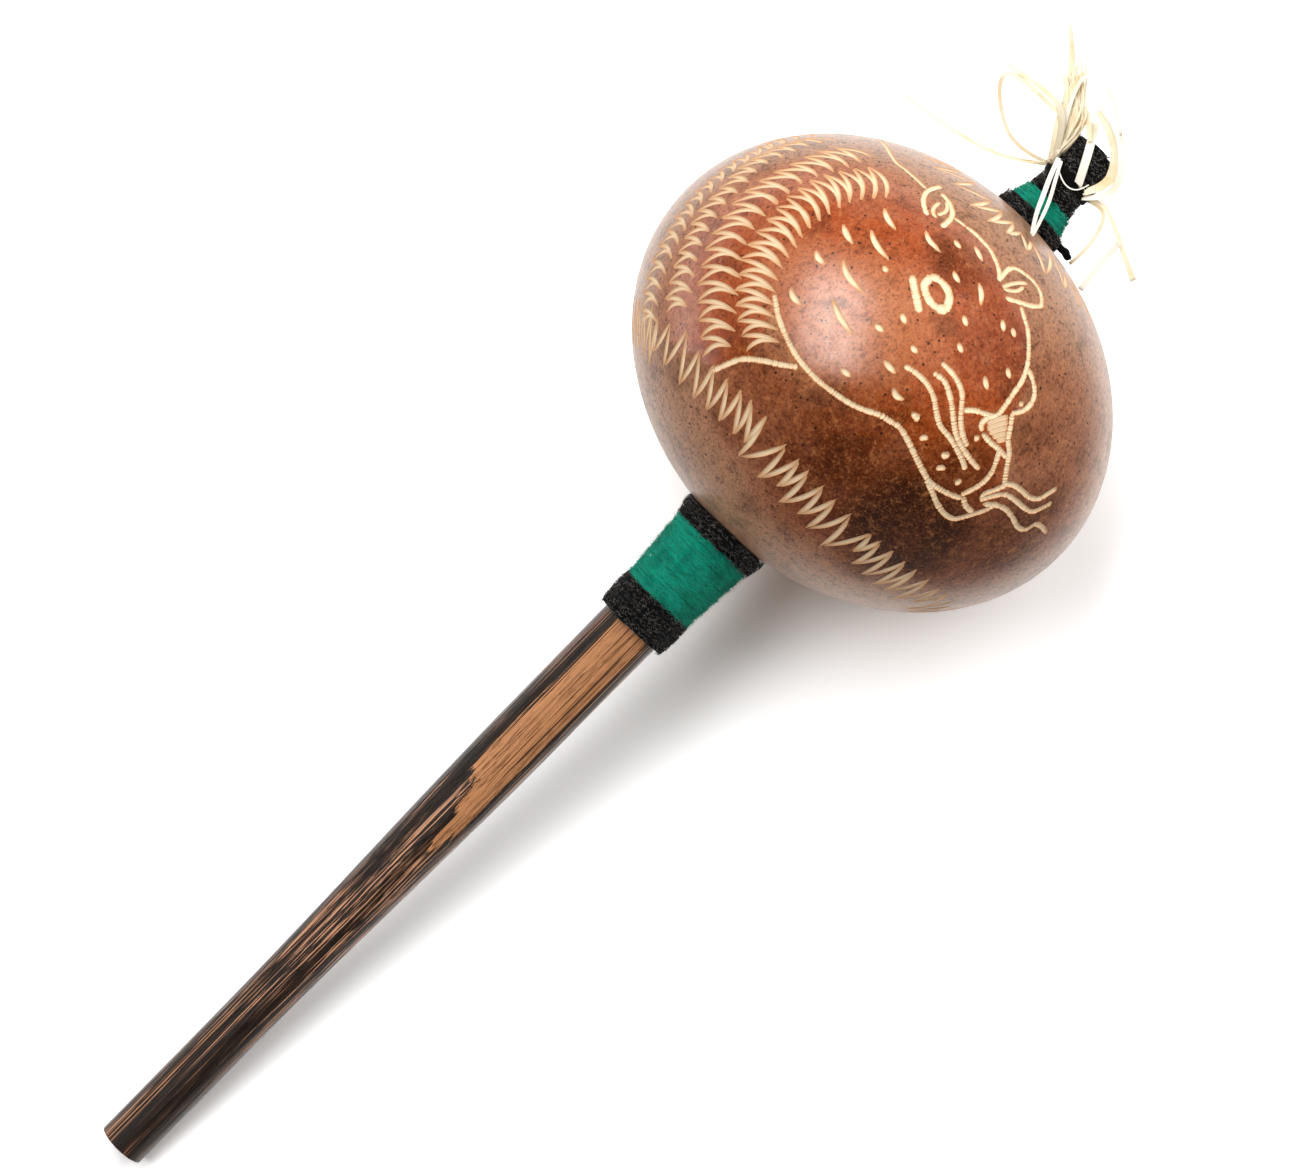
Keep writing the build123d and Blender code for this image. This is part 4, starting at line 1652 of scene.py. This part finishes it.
@dataclass
class PalmStick:
    """The stick: round palm wood, finely grooved, with a shaved patch on its upper side.

    Attributes:
        line: The stick's line.
        wood: Its finish.
        sides, rings: Steps round it and along it.
        slices: Into how many lengths the CAD stick is measured.
        groove: Depth of its grooves.
        grooves: How many grooves of each kind go round it, and how far they follow its drift.
        drifts: The two waves of that drift: how far, and the length of stick for each radian.
        shaved_from: Station at which the patch goes under the binding.
        shaved_steps: Length of the patch in lanes from its far side to its near side.
        shaved_edges: The patch's two edges, as turns from the top towards the far side.
        shaved_depth: How deep the patch is cut.
        edge_scale: How much surer the patch is for each radian from its edge.
        splinter_length: The length over which the wood splinters at the patch's end.
    """

    line: StickLine
    wood: PalmWood
    sides: int = 96
    rings: int = 420
    slices: int = 60
    groove: float = 0.16 * MM
    grooves: tuple[tuple[int, int], ...] = ((17, 17), (29, -9), (41, 5))
    drifts: tuple[tuple[float, float], ...] = ((0.25, 37 * MM), (0.1, 11 * MM))
    shaved_from: float = -78.0 * MM
    shaved_steps: tuple[float, ...] = (51.0 * MM, 52.5 * MM, 60.0 * MM, 70.5 * MM, 66.0 * MM)
    shaved_edges: tuple[float, float] = (math.radians(21), math.radians(-57))
    shaved_depth: float = 0.35 * MM
    edge_scale: float = 7.0
    splinter_length: float = 4.0 * MM

    def build(self) -> bpy.types.Object:
        """Make the stick and dress it.

        Returns:
            The stick.
        """
        low, high = self.line.span("palm_stick")
        profile = self.line.profile("palm_stick", self.slices)
        shape = bmesh.new()
        bmesh.ops.create_cone(shape, cap_ends=True, segments=self.sides, radius1=1, radius2=1, depth=1)
        lengthwise = [e for e in shape.edges if abs(e.verts[0].co.z - e.verts[1].co.z) > 0.5]
        bmesh.ops.subdivide_edges(shape, edges=lengthwise, cuts=self.rings, use_grid_fill=True)
        shaved = shape.verts.layers.float.new("shaved")
        for vertex in shape.verts:
            station = low + (vertex.co.z + 0.5) * (high - low)
            angle = math.atan2(vertex.co.x, vertex.co.y)
            vertex[shaved] = self._shaved(station, angle)
            radius = radius_at(profile, station) - self._relief(station, angle)
            radius -= self.shaved_depth * ease(vertex[shaved] + 0.5)
            vertex.co = self.line.around(station, angle, radius)
        bmesh.ops.recalc_face_normals(shape, faces=shape.faces)
        mesh = bpy.data.meshes.new("grooved_stick")
        shape.to_mesh(mesh)
        shape.free()
        mesh.shade_smooth()
        sharp = math.radians(50)
        mesh.set_sharp_from_angle(angle=sharp)
        return add_piece("grooved_stick", mesh, [self.wood.material()], ["palm_stick"])

    def _relief(self, station: float, angle: float) -> float:
        """Return the depth of the wood's grooves.

        Args:
            station: A station.
            angle: A turn from the top towards the far side.

        Returns:
            The depth there.
        """
        drift = sum(far * math.sin(station / length) for far, length in self.drifts)
        lines = sum(math.sin(count * angle + follow * drift) for count, follow in self.grooves)
        return self.groove * (0.5 + lines / (2 * len(self.grooves)))

    def _shaved(self, station: float, angle: float) -> float:
        """Return how far a place is inside the shaved patch, as a number that is negative outside it.

        Args:
            station: The place's station.
            angle: Its turn from the top towards the far side.

        Returns:
            The number.
        """
        far, near = self.shaved_edges
        lanes = len(self.shaved_steps)
        across = max((far - angle) / (far - near), 0.0)
        lane = self.shaved_steps[min(int(across * lanes), lanes - 1)]
        from_edge = min(far - angle, angle - near) * self.edge_scale
        from_end = (station - self.shaved_from + lane) / self.splinter_length
        least, most = -2.0, 1.0
        return min(max(min(from_edge, from_end), least), most)


class YarnColour(Enum):
    """The two yarns."""

    BLACK = "black_yarn"
    GREEN = "green_yarn"


@dataclass(frozen=True)
class Lint:
    """The loose fibres of a yarn.

    Attributes:
        finish: Their finish.
        count: How many there are for each square millimetre.
        lengths, radii: Their least and greatest length and radius.
        stray: How far they turn from the winding's direction, from 0 to 1.
    """

    finish: bpy.types.Material
    count: float
    lengths: tuple[float, float]
    radii: tuple[float, float]
    stray: float


@dataclass
class YarnBand:
    """One winding of yarn: a plied thread wound tightly, with loose fibres.

    Attributes:
        node: The CAD winding that it replaces.
        colour: Which yarn it is; not used.
        line: The stick's line.
        finish: The yarn's finish.
        lint: Its loose fibres.
        seed: Start of its chance.
        ring_limit: Radius past which the CAD thread is a loose tail.
        thread: Radius of the thread.
        pitch: Distance between turns.
        step: Distance between the thread's points.
        slice_length: Length of the slices in which the CAD winding is measured.
        twist: Length of one turn of the plies.
        climb: How far it climbs where it reaches over what lies above it.
        tail, tail_length: Radius and length of a loose tail.
        over: How far its ends reach over what lies beside them.
        closed: Whether it goes on over its upper end as a flat spiral.
        dome: How far that spiral rises towards its middle.
        bulge: How far it swells between its ends.
    """

    node: str
    colour: YarnColour
    line: StickLine
    finish: bpy.types.Material
    lint: Lint
    seed: int
    ring_limit: float = math.inf
    thread: float = 0.4 * MM
    pitch: float = 0.5 * MM
    step: float = 0.4 * MM
    slice_length: float = 1.3 * MM
    twist: float = 2.2 * MM
    climb: float = 0.7 * MM
    tail: float = 1.05 * MM
    tail_length: float = 7.5 * MM
    over: tuple[float, float] = (0.5 * MM, 0.5 * MM)
    closed: bool = False
    dome: float = 0.6 * MM
    bulge: float = 0.0
    WOBBLES = ((0.12 * MM, 0.73), (0.08 * MM, 2.9))
    WANDERS = ((0.1 * MM, 0.57), (0.06 * MM, 1.37))

    def build(self) -> list[bpy.types.Object]:
        """Make the winding and its fibres.

        Returns:
            The two pieces.
        """
        low, high = self.line.span(self.node)
        slices = max(int((high - low) / self.slice_length), 2)
        profile = self.line.profile(self.node, slices, self.ring_limit)
        top = high
        low, high = low - self.over[0], high + self.over[1]
        chance = random.Random(self.seed)
        turns = (high - low - 2 * self.thread) / self.pitch
        run = Run([], [], [])
        angle = 0.0
        while angle < turns * 2 * math.pi:
            station = low + self.thread + self.pitch * angle / (2 * math.pi)
            radius = radius_at(profile, station) - self.thread + self.climb * ease((station - top) / MM)
            radius += self._swell((station - low) / (high - low))
            radius += self._uneven(angle, self.WOBBLES)
            wander = self._uneven(angle, self.WANDERS)
            self._lay(run, self.line.around(station + wander, angle, radius))
            angle += self.step / radius
        rim, largest_turn = radius, 0.4
        while self.closed and radius > self.thread:
            dome = self.dome * ease(1 - radius / rim)
            self._lay(run, self.line.around(high - self.thread + dome, angle, radius))
            step = min(self.step / radius, largest_turn)
            angle += step
            radius -= self.pitch * step / (2 * math.pi)
        mesh = sweep(self.node + "_thread", [run, *self._tail()], Section.PLIED, sides=8)
        piece = add_piece(self.node + "_winding", mesh, [self.finish], [self.node])
        return [piece, self._fuzz(profile, low, high, chance)]

    def _swell(self, share: float) -> float:
        """Return how far the winding swells at a share of its length."""
        return self.bulge * math.sqrt(max(math.sin(math.pi * share), 0.0))

    def _uneven(self, angle: float, waves: tuple[tuple[float, float], ...]) -> float:
        """Return how far two waves, each with its size and its count for each radian, move the thread."""
        (slow, seldom), (quick, often) = waves
        return slow * math.sin(angle * seldom + self.seed) + quick * math.sin(angle * often)

    def _lay(self, run: Run, spot: Vector) -> None:
        """Carry the plied thread on to a point.

        Args:
            run: The thread's line so far.
            spot: The point.
        """
        mean, varied, often = 1.12, 0.14, 0.31
        on = (spot - run.points[-1]).length if run.points else 0.0
        run.points.append(spot)
        run.scales.append(self.thread * (mean + varied * math.sin(len(run.points) * often)))
        run.turns.append((run.turns[-1] if run.turns else 0.0) + 2 * math.pi * on / self.twist)

    def _tail(self) -> list[Run]:
        """Return the loose end that leaves the winding, where the CAD thread has one.

        Returns:
            Its line, or nothing.
        """
        def radius(point: Vector) -> float:
            """Return a point's distance from the stick's line."""
            return math.hypot(*self.line.read(point)[1:])

        places = [vertex.co.copy() for vertex in frame["nodes"][self.node].data.vertices]
        loose = [place for place in places if radius(place) > self.ring_limit]
        if not loose:
            return []
        root, tip = min(loose, key=radius), max(loose, key=radius)
        outward = (tip - root).normalized()
        steps, past, end_scale, twist = 24, 0.35, 0.7, 1.4 * math.pi
        down, back = 0.8 * MM, 1.0 * MM
        run = Run([], [], [])
        for k in range(steps + 1):
            share = k / steps
            sag = self.line.up * (-down * share**2) + self.line.way * (-back * share**2)
            run.points.append(tip + outward * self.tail_length * (share * (1 + past) - 1) + sag)
            run.scales.append(self.tail * (1.0 if k < steps else end_scale))
            run.turns.append(twist * share)
        return [run]

    def _fuzz(
        self, profile: Sequence[tuple[float, float]], low: float, high: float, chance: random.Random
    ) -> bpy.types.Object:
        """Add the loose fibres that lie over the turns and stand off them.

        Args:
            profile: The winding's radius along the stick.
            low, high: Stations of its ends.
            chance: Where the fibres' chance comes from.

        Returns:
            The fibres, as one piece.
        """
        girth = 2 * math.pi * radius_at(profile, (low + high) / 2)
        lint = self.lint
        stand, bow, arch, taper = 0.45, 0.2, 1.9, (1.0, 1.0, 0.9, 0.5)
        sunk, least_lift = 0.06 * MM, 0.09 * MM
        last = len(taper) - 1
        runs = []
        for _ in range(int((high - low) * girth / MM**2 * lint.count)):
            station = chance.uniform(low, high)
            angle = chance.uniform(-math.pi, math.pi)
            radius = radius_at(profile, station) + self._swell((station - low) / (high - low))
            reach = chance.uniform(*lint.lengths)
            lift = chance.uniform(0.0, 1.0) ** 3 * reach * stand
            drift = chance.uniform(-lint.stray, lint.stray) * reach
            heading = chance.choice((-1, 1)) * math.sqrt(reach**2 - drift**2) / radius
            bend = chance.uniform(-bow, bow) * reach
            thick = chance.uniform(*lint.radii)
            points = []
            for k in range(last + 1):
                share = k / last
                along = station + drift * share + bend * math.sin(share * math.pi)
                off = radius - sunk + (lift + least_lift) * math.sin(share * arch)
                points.append(self.line.around(along, angle + heading * share, off))
            runs.append(Run(points, [thick * scale for scale in taper], [0.0] * len(points)))
        mesh = sweep(self.node + "_fuzz", runs, Section.ROUND, sides=3)
        return add_piece(self.node + "_fuzz", mesh, [lint.finish])


@dataclass
class InnerWinding:
    """The inner layers of yarn that give a binding its shape, seen only between the outer turns.

    Attributes:
        node: The CAD packing that it replaces.
        line: The stick's line.
        finish: The yarn's finish.
        slices: Into how many lengths the packing is measured.
        under: How far it lies under the packing's surface.
        turns: Steps round it.
    """

    node: str
    line: StickLine
    finish: bpy.types.Material
    slices: int
    under: float = 0.1 * MM
    turns: int = 64

    def build(self) -> bpy.types.Object:
        """Spin the layers' profile round the stick.

        Returns:
            The layers, as one piece.
        """
        profile = self.line.profile(self.node, self.slices)
        low, high = self.line.span(self.node)
        profile = [(low, profile[0][1]), *profile, (high, profile[-1][1])]
        shape = bmesh.new()
        row = [shape.verts.new(self.line.around(s, 0, r - self.under)) for s, r in profile]
        ends = [shape.verts.new(self.line.at(s, 0, 0)) for s in (low, high)]
        chain = [ends[0], *row, ends[1]]
        edges = [shape.edges.new(pair) for pair in zip(chain, chain[1:])]
        bmesh.ops.spin(
            shape,
            geom=[*chain, *edges],
            cent=self.line.origin,
            axis=self.line.way,
            angle=2 * math.pi,
            steps=self.turns,
            use_merge=True,
        )
        bmesh.ops.remove_doubles(shape, verts=shape.verts, dist=SPIN_WELD)
        bmesh.ops.recalc_face_normals(shape, faces=shape.faces)
        mesh = bpy.data.meshes.new(self.node + "_layers")
        shape.to_mesh(mesh)
        shape.free()
        mesh.shade_smooth()
        return add_piece(self.node + "_layers", mesh, [self.finish], [self.node])


@dataclass(frozen=True)
class Strand:
    """One strand of raffia.

    Attributes:
        route: Distances along the stick, sideways and upwards from the tie's middle, in millimetres.
        widths: Half its width at its start, its middle and its end, in millimetres.
        white: Whether it is bleached.
    """

    route: tuple[tuple[float, float, float], ...]
    widths: tuple[float, float, float] = (0.65, 0.65, 0.65)
    white: bool = False

    def run(self, line: StickLine, middle: float) -> Run:
        """Return the line to sweep it along.

        Args:
            line: The stick's line.
            middle: Station of the tie's middle.

        Returns:
            The line, with half the strand's width at each point.
        """
        points = [line.at(middle + a * MM, s * MM, u * MM) for a, s, u in self.route]
        start, half, end = self.widths
        scales = []
        for number in range(len(points)):
            share = 2 * number / (len(points) - 1)
            width = start + (half - start) * share if share < 1 else half + (end - half) * (share - 1)
            scales.append(width * MM)
        return Run(points, scales, [0.0] * len(points))


@dataclass
class RaffiaTassel:
    """The raffia tie and its strands.

    Attributes:
        line: The stick's line.
        straw, bleached: The raffia's finishes.
        hairs: How many loose fibres rise from the tie.
    """

    line: StickLine
    straw: bpy.types.Material
    bleached: bpy.types.Material
    hairs: int = 34
    STRANDS = {
        "raffia_top_strand": Strand((
            (0, 5.6, 2.6), (6.1, 8.4, 4.0), (13.6, 13.0, 6.0), (19.9, 17.5, 8.0), (24.9, 23.3, 10.0),
        ), (1.0, 1.1, 0.4)),
        "raffia_second_strand": Strand((
            (0, 4.75, 3.95), (5.4, 7.0, 9.0), (9.9, 11.0, 12.5), (9.6, 17.2, 15.0), (8.0, 25.7, 16.0),
        ), (0.7, 0.8, 0.5)),
        "raffia_side_loop": Strand((
            (0, 6.1, 0.85), (-3.8, 13.1, 6.0), (0.7, 22.2, 10.0), (6.0, 26.6, 12.0), (8.8, 23.0, 12.2),
            (8.6, 9.8, 9.0),
        ), (0.45, 0.5, 0.55)),
        "raffia_long_fibre": Strand((
            (0, 6.1, -0.95), (-4.2, 10.8, 2.0), (-8.2, 17.8, 5.0), (-10.9, 29.2, 8.0), (-12.2, 39.1, 9.0),
        ), (0.45, 0.45, 0.35)),
        "raffia_arched_strand": Strand((
            (0.4, 4.4, 5.0), (6.4, 7.6, 8.8), (13.4, 11.4, 10.4), (18.9, 12.9, 11.0), (20.9, 9.0, 10.5),
            (18.9, 3.5, 9.0), (14.9, -2.5, 7.5),
        ), (0.5, 0.5, 0.35), True),
        "raffia_hooked_strand": Strand((
            (0, -4.8, 3.95), (4.3, -7.8, 3.8), (9.9, -6.0, 4.6), (14.3, -0.5, 5.8), (15.2, 5.5, 6.0),
        ), (0.8, 1.3, 0.7)),
        "raffia_right_strand": Strand((
            (0, -5.8, 2.15), (1.8, -9.5, 2.0), (-0.3, -15.4, 1.0), (-3.6, -21.4, -1.0), (-5.8, -26.3, -3.0),
        ), (0.45, 0.5, 0.75)),
        "raffia_drooping_strand": Strand((
            (0, -6.1, -1.1), (1.6, -10.7, -1.0), (-3.0, -12.9, -2.0), (-8.8, -13.7, -3.0),
            (-12.9, -13.0, -4.0),
        ), (0.45, 0.45, 0.4)),
        "raffia_folded_strip": Strand((
            (1.7, 4.3, 6.6), (-2.6, 2.6, 8.2), (-7.6, 0.0, 10.4), (-12.4, -2.8, 17.0), (-16.6, -6.4, 25.0),
        ), (0.55, 0.6, 0.4), True),
        "raffia_folded_leg": Strand((
            (-16.8, -6.8, 25.0), (-12.2, -4.4, 17.0), (-6.9, -1.6, 10.2), (-2.4, 1.2, 8.0), (1.6, 3.4, 6.8),
        ), (0.35, 0.45, 0.4), True),
        "raffia_knob_strip": Strand((
            (0, -3.2, 5.3), (4.9, -1.0, 7.4), (10.4, 2.2, 5.8), (13.4, 4.5, 3.0),
        ), (1, 1, 1), True),
        "raffia_tan_ribbon": Strand((
            (0.6, 5.4, 4.5), (4.0, 7.7, 7.0), (7.9, 9.9, 8.5), (11.4, 11.4, 9.0), (13.5, 13.0, 9.5),
            (15.9, 15.9, 10.0),
        ), (0.5, 0.55, 0.4)),
        "raffia_left_ribbon": Strand((
            (0.6, 5.2, 5.2), (2.3, 6.4, 6.5), (6.3, 9.0, 8.0), (10.4, 11.1, 8.8), (13.9, 12.7, 9.0),
            (16.7, 13.7, 9.2),
        ), (0.9, 1.15, 0.5)),
        "raffia_right_ribbon": Strand((
            (9.0, 1.6, 7.0), (11.4, 4.2, 7.4), (13.0, 6.9, 8.0), (14.7, 10.3, 8.5), (16.4, 13.5, 8.8),
            (18.7, 16.2, 9.2),
        ), (0.5, 1.0, 0.5)),
        "raffia_outer_fan": Strand((
            (-0.9, -5.4, 3.2), (2.3, -9.4, 3.8), (7.4, -9.3, 4.6), (12.0, -5.8, 5.2), (15.4, -0.8, 5.6),
            (16.6, 5.0, 6.2), (16.4, 9.6, 7.0),
        ), (0.6, 1.0, 0.5), True),
        "raffia_wisp": Strand((
            (11.4, 11.6, 8.8), (14.6, 13.3, 8.9), (15.9, 19.0, 10.0), (16.4, 24.8, 11.0),
        ), white=True),
        "raffia_pale_end": Strand((
            (-15.7, -19.2, -2.0), (-9.0, -18.4, -1.5), (-4.6, -18.4, -0.7), (-1.9, -18.4, 0.1),
        ), white=True),
        "raffia_cross_hair": Strand((
            (11.1, 11.9, 9.2), (9.8, 17.2, 13.0), (8.0, 22.7, 15.5),
        ), (0.12, 0.12, 0.12)),
        "raffia_loop_hair": Strand((
            (1.9, -8.7, 2.2), (1.8, -11.6, 1.8), (1.0, -14.9, 1.2), (-0.9, -18.4, 0.5), (-3.3, -19.8, 0.0),
        ), (0.14, 0.12, 0.1)),
        "raffia_waist_hair": Strand((
            (-0.1, 2.8, 6.9), (-1.3, 0.6, 7.1), (-1.8, -1.5, 7.1), (-1.4, -3.2, 6.9), (0.0, -4.4, 6.4),
            (2.0, -4.9, 6.2),
        ), (0.18, 0.16, 0.14), True),
        "raffia_side_hair": Strand((
            (-0.4, 6.4, 3.5), (-3.1, 8.2, 5.0), (-5.8, 11.8, 6.0), (-8.5, 17.6, 7.2),
        ), (0.2, 0.2, 0.15)),
    }

    def build(self) -> list[bpy.types.Object]:
        """Make the tie and every strand.

        Returns:
            The pieces.
        """
        low, high = self.line.span("raffia_tie")
        pieces = []
        for name, strand in self.STRANDS.items():
            run = strand.run(self.line, (low + high) / 2)
            mesh = sweep(name + "_blade", [run], Section.RIBBON, sides=10, smooth_steps=12, lying=True)
            finish = self.bleached if strand.white else self.straw
            replaced = [name] if name in frame["nodes"] else []
            pieces.append(add_piece(name + "_blade", mesh, [finish], replaced))
        return [*pieces, self._tie(low, high), self._tangle((low + high) / 2)]

    def _tangle(self, middle: float) -> bpy.types.Object:
        """Fill the space between the rising strands with loose fibres.

        Args:
            middle: Station of the tie's middle.

        Returns:
            The fibres, as one piece.
        """
        seed, fan, widths = 5, 2.8, (0.14, 0.55)
        chance = random.Random(seed)
        runs = []
        for _ in range(self.hairs):
            side = fan * chance.uniform(-1, 1)
            route = (
                (chance.uniform(0.5, 5.0), 5.4 + chance.uniform(-0.8, 0.8), 4.6 + chance.uniform(0.0, 1.6)),
                (8.0 + chance.uniform(-2, 2), 7.0 + side, 7.8 + chance.uniform(-1.0, 1.0)),
                (13.0 + chance.uniform(-2, 2), 9.2 + side, 8.6 + chance.uniform(-0.8, 0.8)),
                (
                    17.0 + chance.uniform(-2, 4),
                    14.2 + chance.uniform(-1.0, 2.0),
                    9.0 + chance.uniform(-0.5, 0.5),
                ),
            )
            width = chance.uniform(*widths)
            runs.append(Strand(route, (width, width, width / 2)).run(self.line, middle))
        mesh = sweep("raffia_tangle", runs, Section.RIBBON, sides=6, smooth_steps=6, lying=True)
        return add_piece("raffia_tangle", mesh, [self.straw])

    def _tie(self, low: float, high: float) -> bpy.types.Object:
        """Wind the tie round the waist.

        Args:
            low, high: Stations of the CAD tie's ends.

        Returns:
            The tie.
        """
        profile = self.line.profile("raffia_tie", slices=2)
        steps, turns, thick = 160, 3.3, 0.62 * MM
        inset, sunk = 0.6 * MM, 0.35 * MM
        points = []
        for k in range(steps):
            share = k / (steps - 1)
            angle = share * turns * 2 * math.pi
            station = low + inset + (high - low - 2 * inset) * share
            points.append(self.line.around(station, angle, profile[0][1] - sunk))
        run = Run(points, [thick] * len(points), [0.0] * len(points))
        mesh = sweep("raffia_tie_turns", [run], Section.ROUND, sides=8)
        return add_piece("raffia_tie_turns", mesh, [self.straw], ["raffia_tie"])


@dataclass
class SeedFilling:
    """The loose seeds, which keep their CAD shapes.

    Attributes:
        coat: Their finish.
    """

    coat: SeedCoat

    def dress(self) -> list[bpy.types.Object]:
        """Give every seed its coat.

        Returns:
            The seeds.
        """
        material = self.coat.material()
        seeds = [node for name, node in frame["nodes"].items() if name.startswith("seed_")]
        for seed in seeds:
            seed.data.materials.clear()
            seed.data.materials.append(material)
        return seeds


@dataclass(frozen=True)
class Lamp:
    """One soft lamp, aimed at the rattle.

    Attributes:
        name: Its name.
        place: Where it hangs.
        size: Its two sides.
        power: Its power.
        mirrored: Whether glossy surfaces show it.
    """

    name: str
    place: Vector
    size: tuple[float, float]
    power: float
    mirrored: bool = True

    def build(self) -> None:
        """Hang the lamp."""
        data = bpy.data.lights.new(self.name, "AREA")
        data.energy = self.power
        data.shape = "RECTANGLE"
        data.size, data.size_y = self.size
        lamp = put(self.name, data)
        lamp.location = self.place
        lamp.rotation_euler = (-self.place).to_track_quat("-Z", "Y").to_euler()
        lamp.visible_glossy = self.mirrored


@dataclass
class Studio:
    """The white floor, the soft light and the plain picture settings.

    Attributes:
        floor_size: Side of the floor.
        bright, dark: Strength of the light from all round, and from the dark side of the studio.
        dark_side: Where the dark side is, overhead and behind the camera.
        dark_edge: How squarely a direction has to point there to be fully dark.
        lamps: The key lamp, whose sheen the face shows, and the fill across from it.
        mirrored: Share of the light from all round that glossy surfaces show.
        paper: The floor's brightness as it lights the object.
        paper_seen: The floor's brightness in the picture, where it is blown out to white.
    """

    floor_size: float = 8.0
    bright: float = 0.24
    dark: float = 0.04
    dark_side: Vector = field(default_factory=lambda: Vector((-0.55, -0.56, 0.62)))
    dark_edge: float = 0.6
    lamps: tuple[Lamp, ...] = (
        Lamp("key_lamp", Vector((-0.2, 0.45, 1.4)), (1.35, 0.7), 18.0),
        Lamp("fill_lamp", Vector((0.99, -0.26, 0.95)), (1.2, 1.2), 14.5, mirrored=False),
    )
    mirrored: float = 0.2
    paper: float = 0.92
    paper_seen: float = 1.5

    def build(self) -> None:
        """Set up the floor, the lights and the picture."""
        self._floor()
        self._lights()
        settings = bpy.context.scene.view_settings
        settings.view_transform = "Standard"

    def _floor(self) -> None:
        """Add the floor, white where no shadow falls."""
        shape = bmesh.new()
        bmesh.ops.create_grid(shape, x_segments=1, y_segments=1, size=self.floor_size / 2)
        mesh = bpy.data.meshes.new("floor")
        shape.to_mesh(mesh)
        shape.free()
        floor = put("floor", mesh)
        material = bpy.data.materials.new("white_floor")
        material.use_nodes = True
        tree = Tree(material.node_tree)
        shader = material.node_tree.nodes["Principled BSDF"]
        path = tree.add("ShaderNodeLightPath").outputs
        seen = tree.math("MAXIMUM", path["Is Camera Ray"], path["Is Glossy Ray"])
        seen = tree.math("MAXIMUM", seen, path["Is Transmission Ray"])
        white = [(level, level, level, 1.0) for level in (self.paper, self.paper_seen)]
        Finish.feed(tree, shader, Base_Color=tree.blend(seen, *white), Roughness=1.0, Specular_IOR_Level=0.0)
        mesh.materials.append(material)

    def _lights(self) -> None:
        """Add the light from all round and the lamps."""
        world = bpy.data.worlds.new("studio")
        bpy.context.scene.world = world
        world.use_nodes = True
        tree = Tree(world.node_tree)
        toward = tree.add("ShaderNodeTexCoord").outputs["Generated"]
        inputs = {0: toward, 1: self.dark_side.normalized()}
        facing = tree.add("ShaderNodeVectorMath", inputs, operation="DOT_PRODUCT").outputs["Value"]
        background = world.node_tree.nodes["Background"]
        background.inputs["Color"].default_value = (1, 1, 1, 1)
        strength = tree.spread(facing, 0.0, self.dark_edge, self.bright, self.dark)
        path = tree.add("ShaderNodeLightPath").outputs
        shown = tree.spread(path["Is Glossy Ray"], 0.0, 1.0, 1.0, self.mirrored)
        strength = tree.math("MULTIPLY", strength, shown)
        strength = tree.math("MAXIMUM", strength, path["Is Camera Ray"])
        world.node_tree.links.new(strength, background.inputs["Strength"])
        for lamp in self.lamps:
            lamp.build()


def report(*pieces: bpy.types.Object) -> None:
    """Log each piece and how many faces it has."""
    for piece in pieces:
        log.info("%s: %d faces", piece.name, len(piece.data.polygons))


def main() -> None:
    """Build the studio and the rattle."""
    logging.basicConfig(level=logging.INFO, format="%(message)s")
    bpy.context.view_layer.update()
    line = StickLine.measured()
    surface = GourdSurface.measured(line)
    camera = PhotoCamera()
    camera.build()
    Studio().build()
    effects = Effects(line)
    skin = GourdSkin("gourd_skin", effects)
    flesh = GourdFlesh("gourd_flesh", effects, surface)
    report(CarvedGourd(surface, Carving(surface, camera), skin, flesh).build())
    report(PalmStick(line, PalmWood("palm_wood", effects)).build())
    wools = {
        "black_wool": (screen(9, 8, 8), screen(62, 59, 57), screen(3, 3, 3)),
        "green_wool": (screen(6, 156, 128), screen(66, 196, 168), screen(0, 96, 78)),
        "black_lint": (screen(96, 92, 89), screen(226, 222, 216), screen(12, 11, 11)),
        "green_lint": (screen(40, 188, 158), screen(116, 216, 190), screen(4, 124, 100)),
    }
    black, green, black_lint, green_lint = (
        Wool(name, effects, *colours).material() for name, colours in wools.items()
    )
    black_fuzz = Lint(
        black_lint, count=3.6, lengths=(0.3 * MM, 1.1 * MM), radii=(0.04 * MM, 0.1 * MM), stray=0.9
    )
    green_fuzz = Lint(
        green_lint, count=6.5, lengths=(0.5 * MM, 2.4 * MM), radii=(0.02 * MM, 0.06 * MM), stray=0.35
    )
    finishes = {YarnColour.BLACK: (black, black_fuzz), YarnColour.GREEN: (green, green_fuzz)}
    bands = (
        ("lower_black_yarn", YarnColour.BLACK, 0.6 * MM),
        ("green_yarn", YarnColour.GREEN, 0.0),
        ("neck_black_yarn", YarnColour.BLACK, 0.2 * MM),
        ("upper_green_yarn", YarnColour.GREEN, 0.0),
    )
    for number, (node, colour, bulge) in enumerate(bands):
        report(*YarnBand(node, colour, line, *finishes[colour], seed=number + 1, bulge=bulge).build())
    dark = (YarnColour.BLACK, line, *finishes[YarnColour.BLACK])
    report(*YarnBand("knob_black_yarn", *dark, seed=5, closed=True).build())
    report(*YarnBand("base_black_yarn", *dark, seed=9, ring_limit=9.7 * MM).build())
    report(*YarnBand("upper_black_yarn", *dark, seed=11, over=(0.25 * MM, 3.7 * MM)).build())
    for node, slices in (("lower_packing", 16), ("upper_packing", 16), ("knob_packing", 10)):
        report(InnerWinding(node, line, black, slices).build())
    straw = Straw("raffia_straw", effects).material()
    bleached = Straw("raffia_white", effects, screen(255, 250, 236), screen(248, 234, 206)).material()
    report(*RaffiaTassel(line, straw, bleached).build())
    report(*SeedFilling(SeedCoat("seed_coat", effects)).dress())


if __name__ == "__main__":
    main()
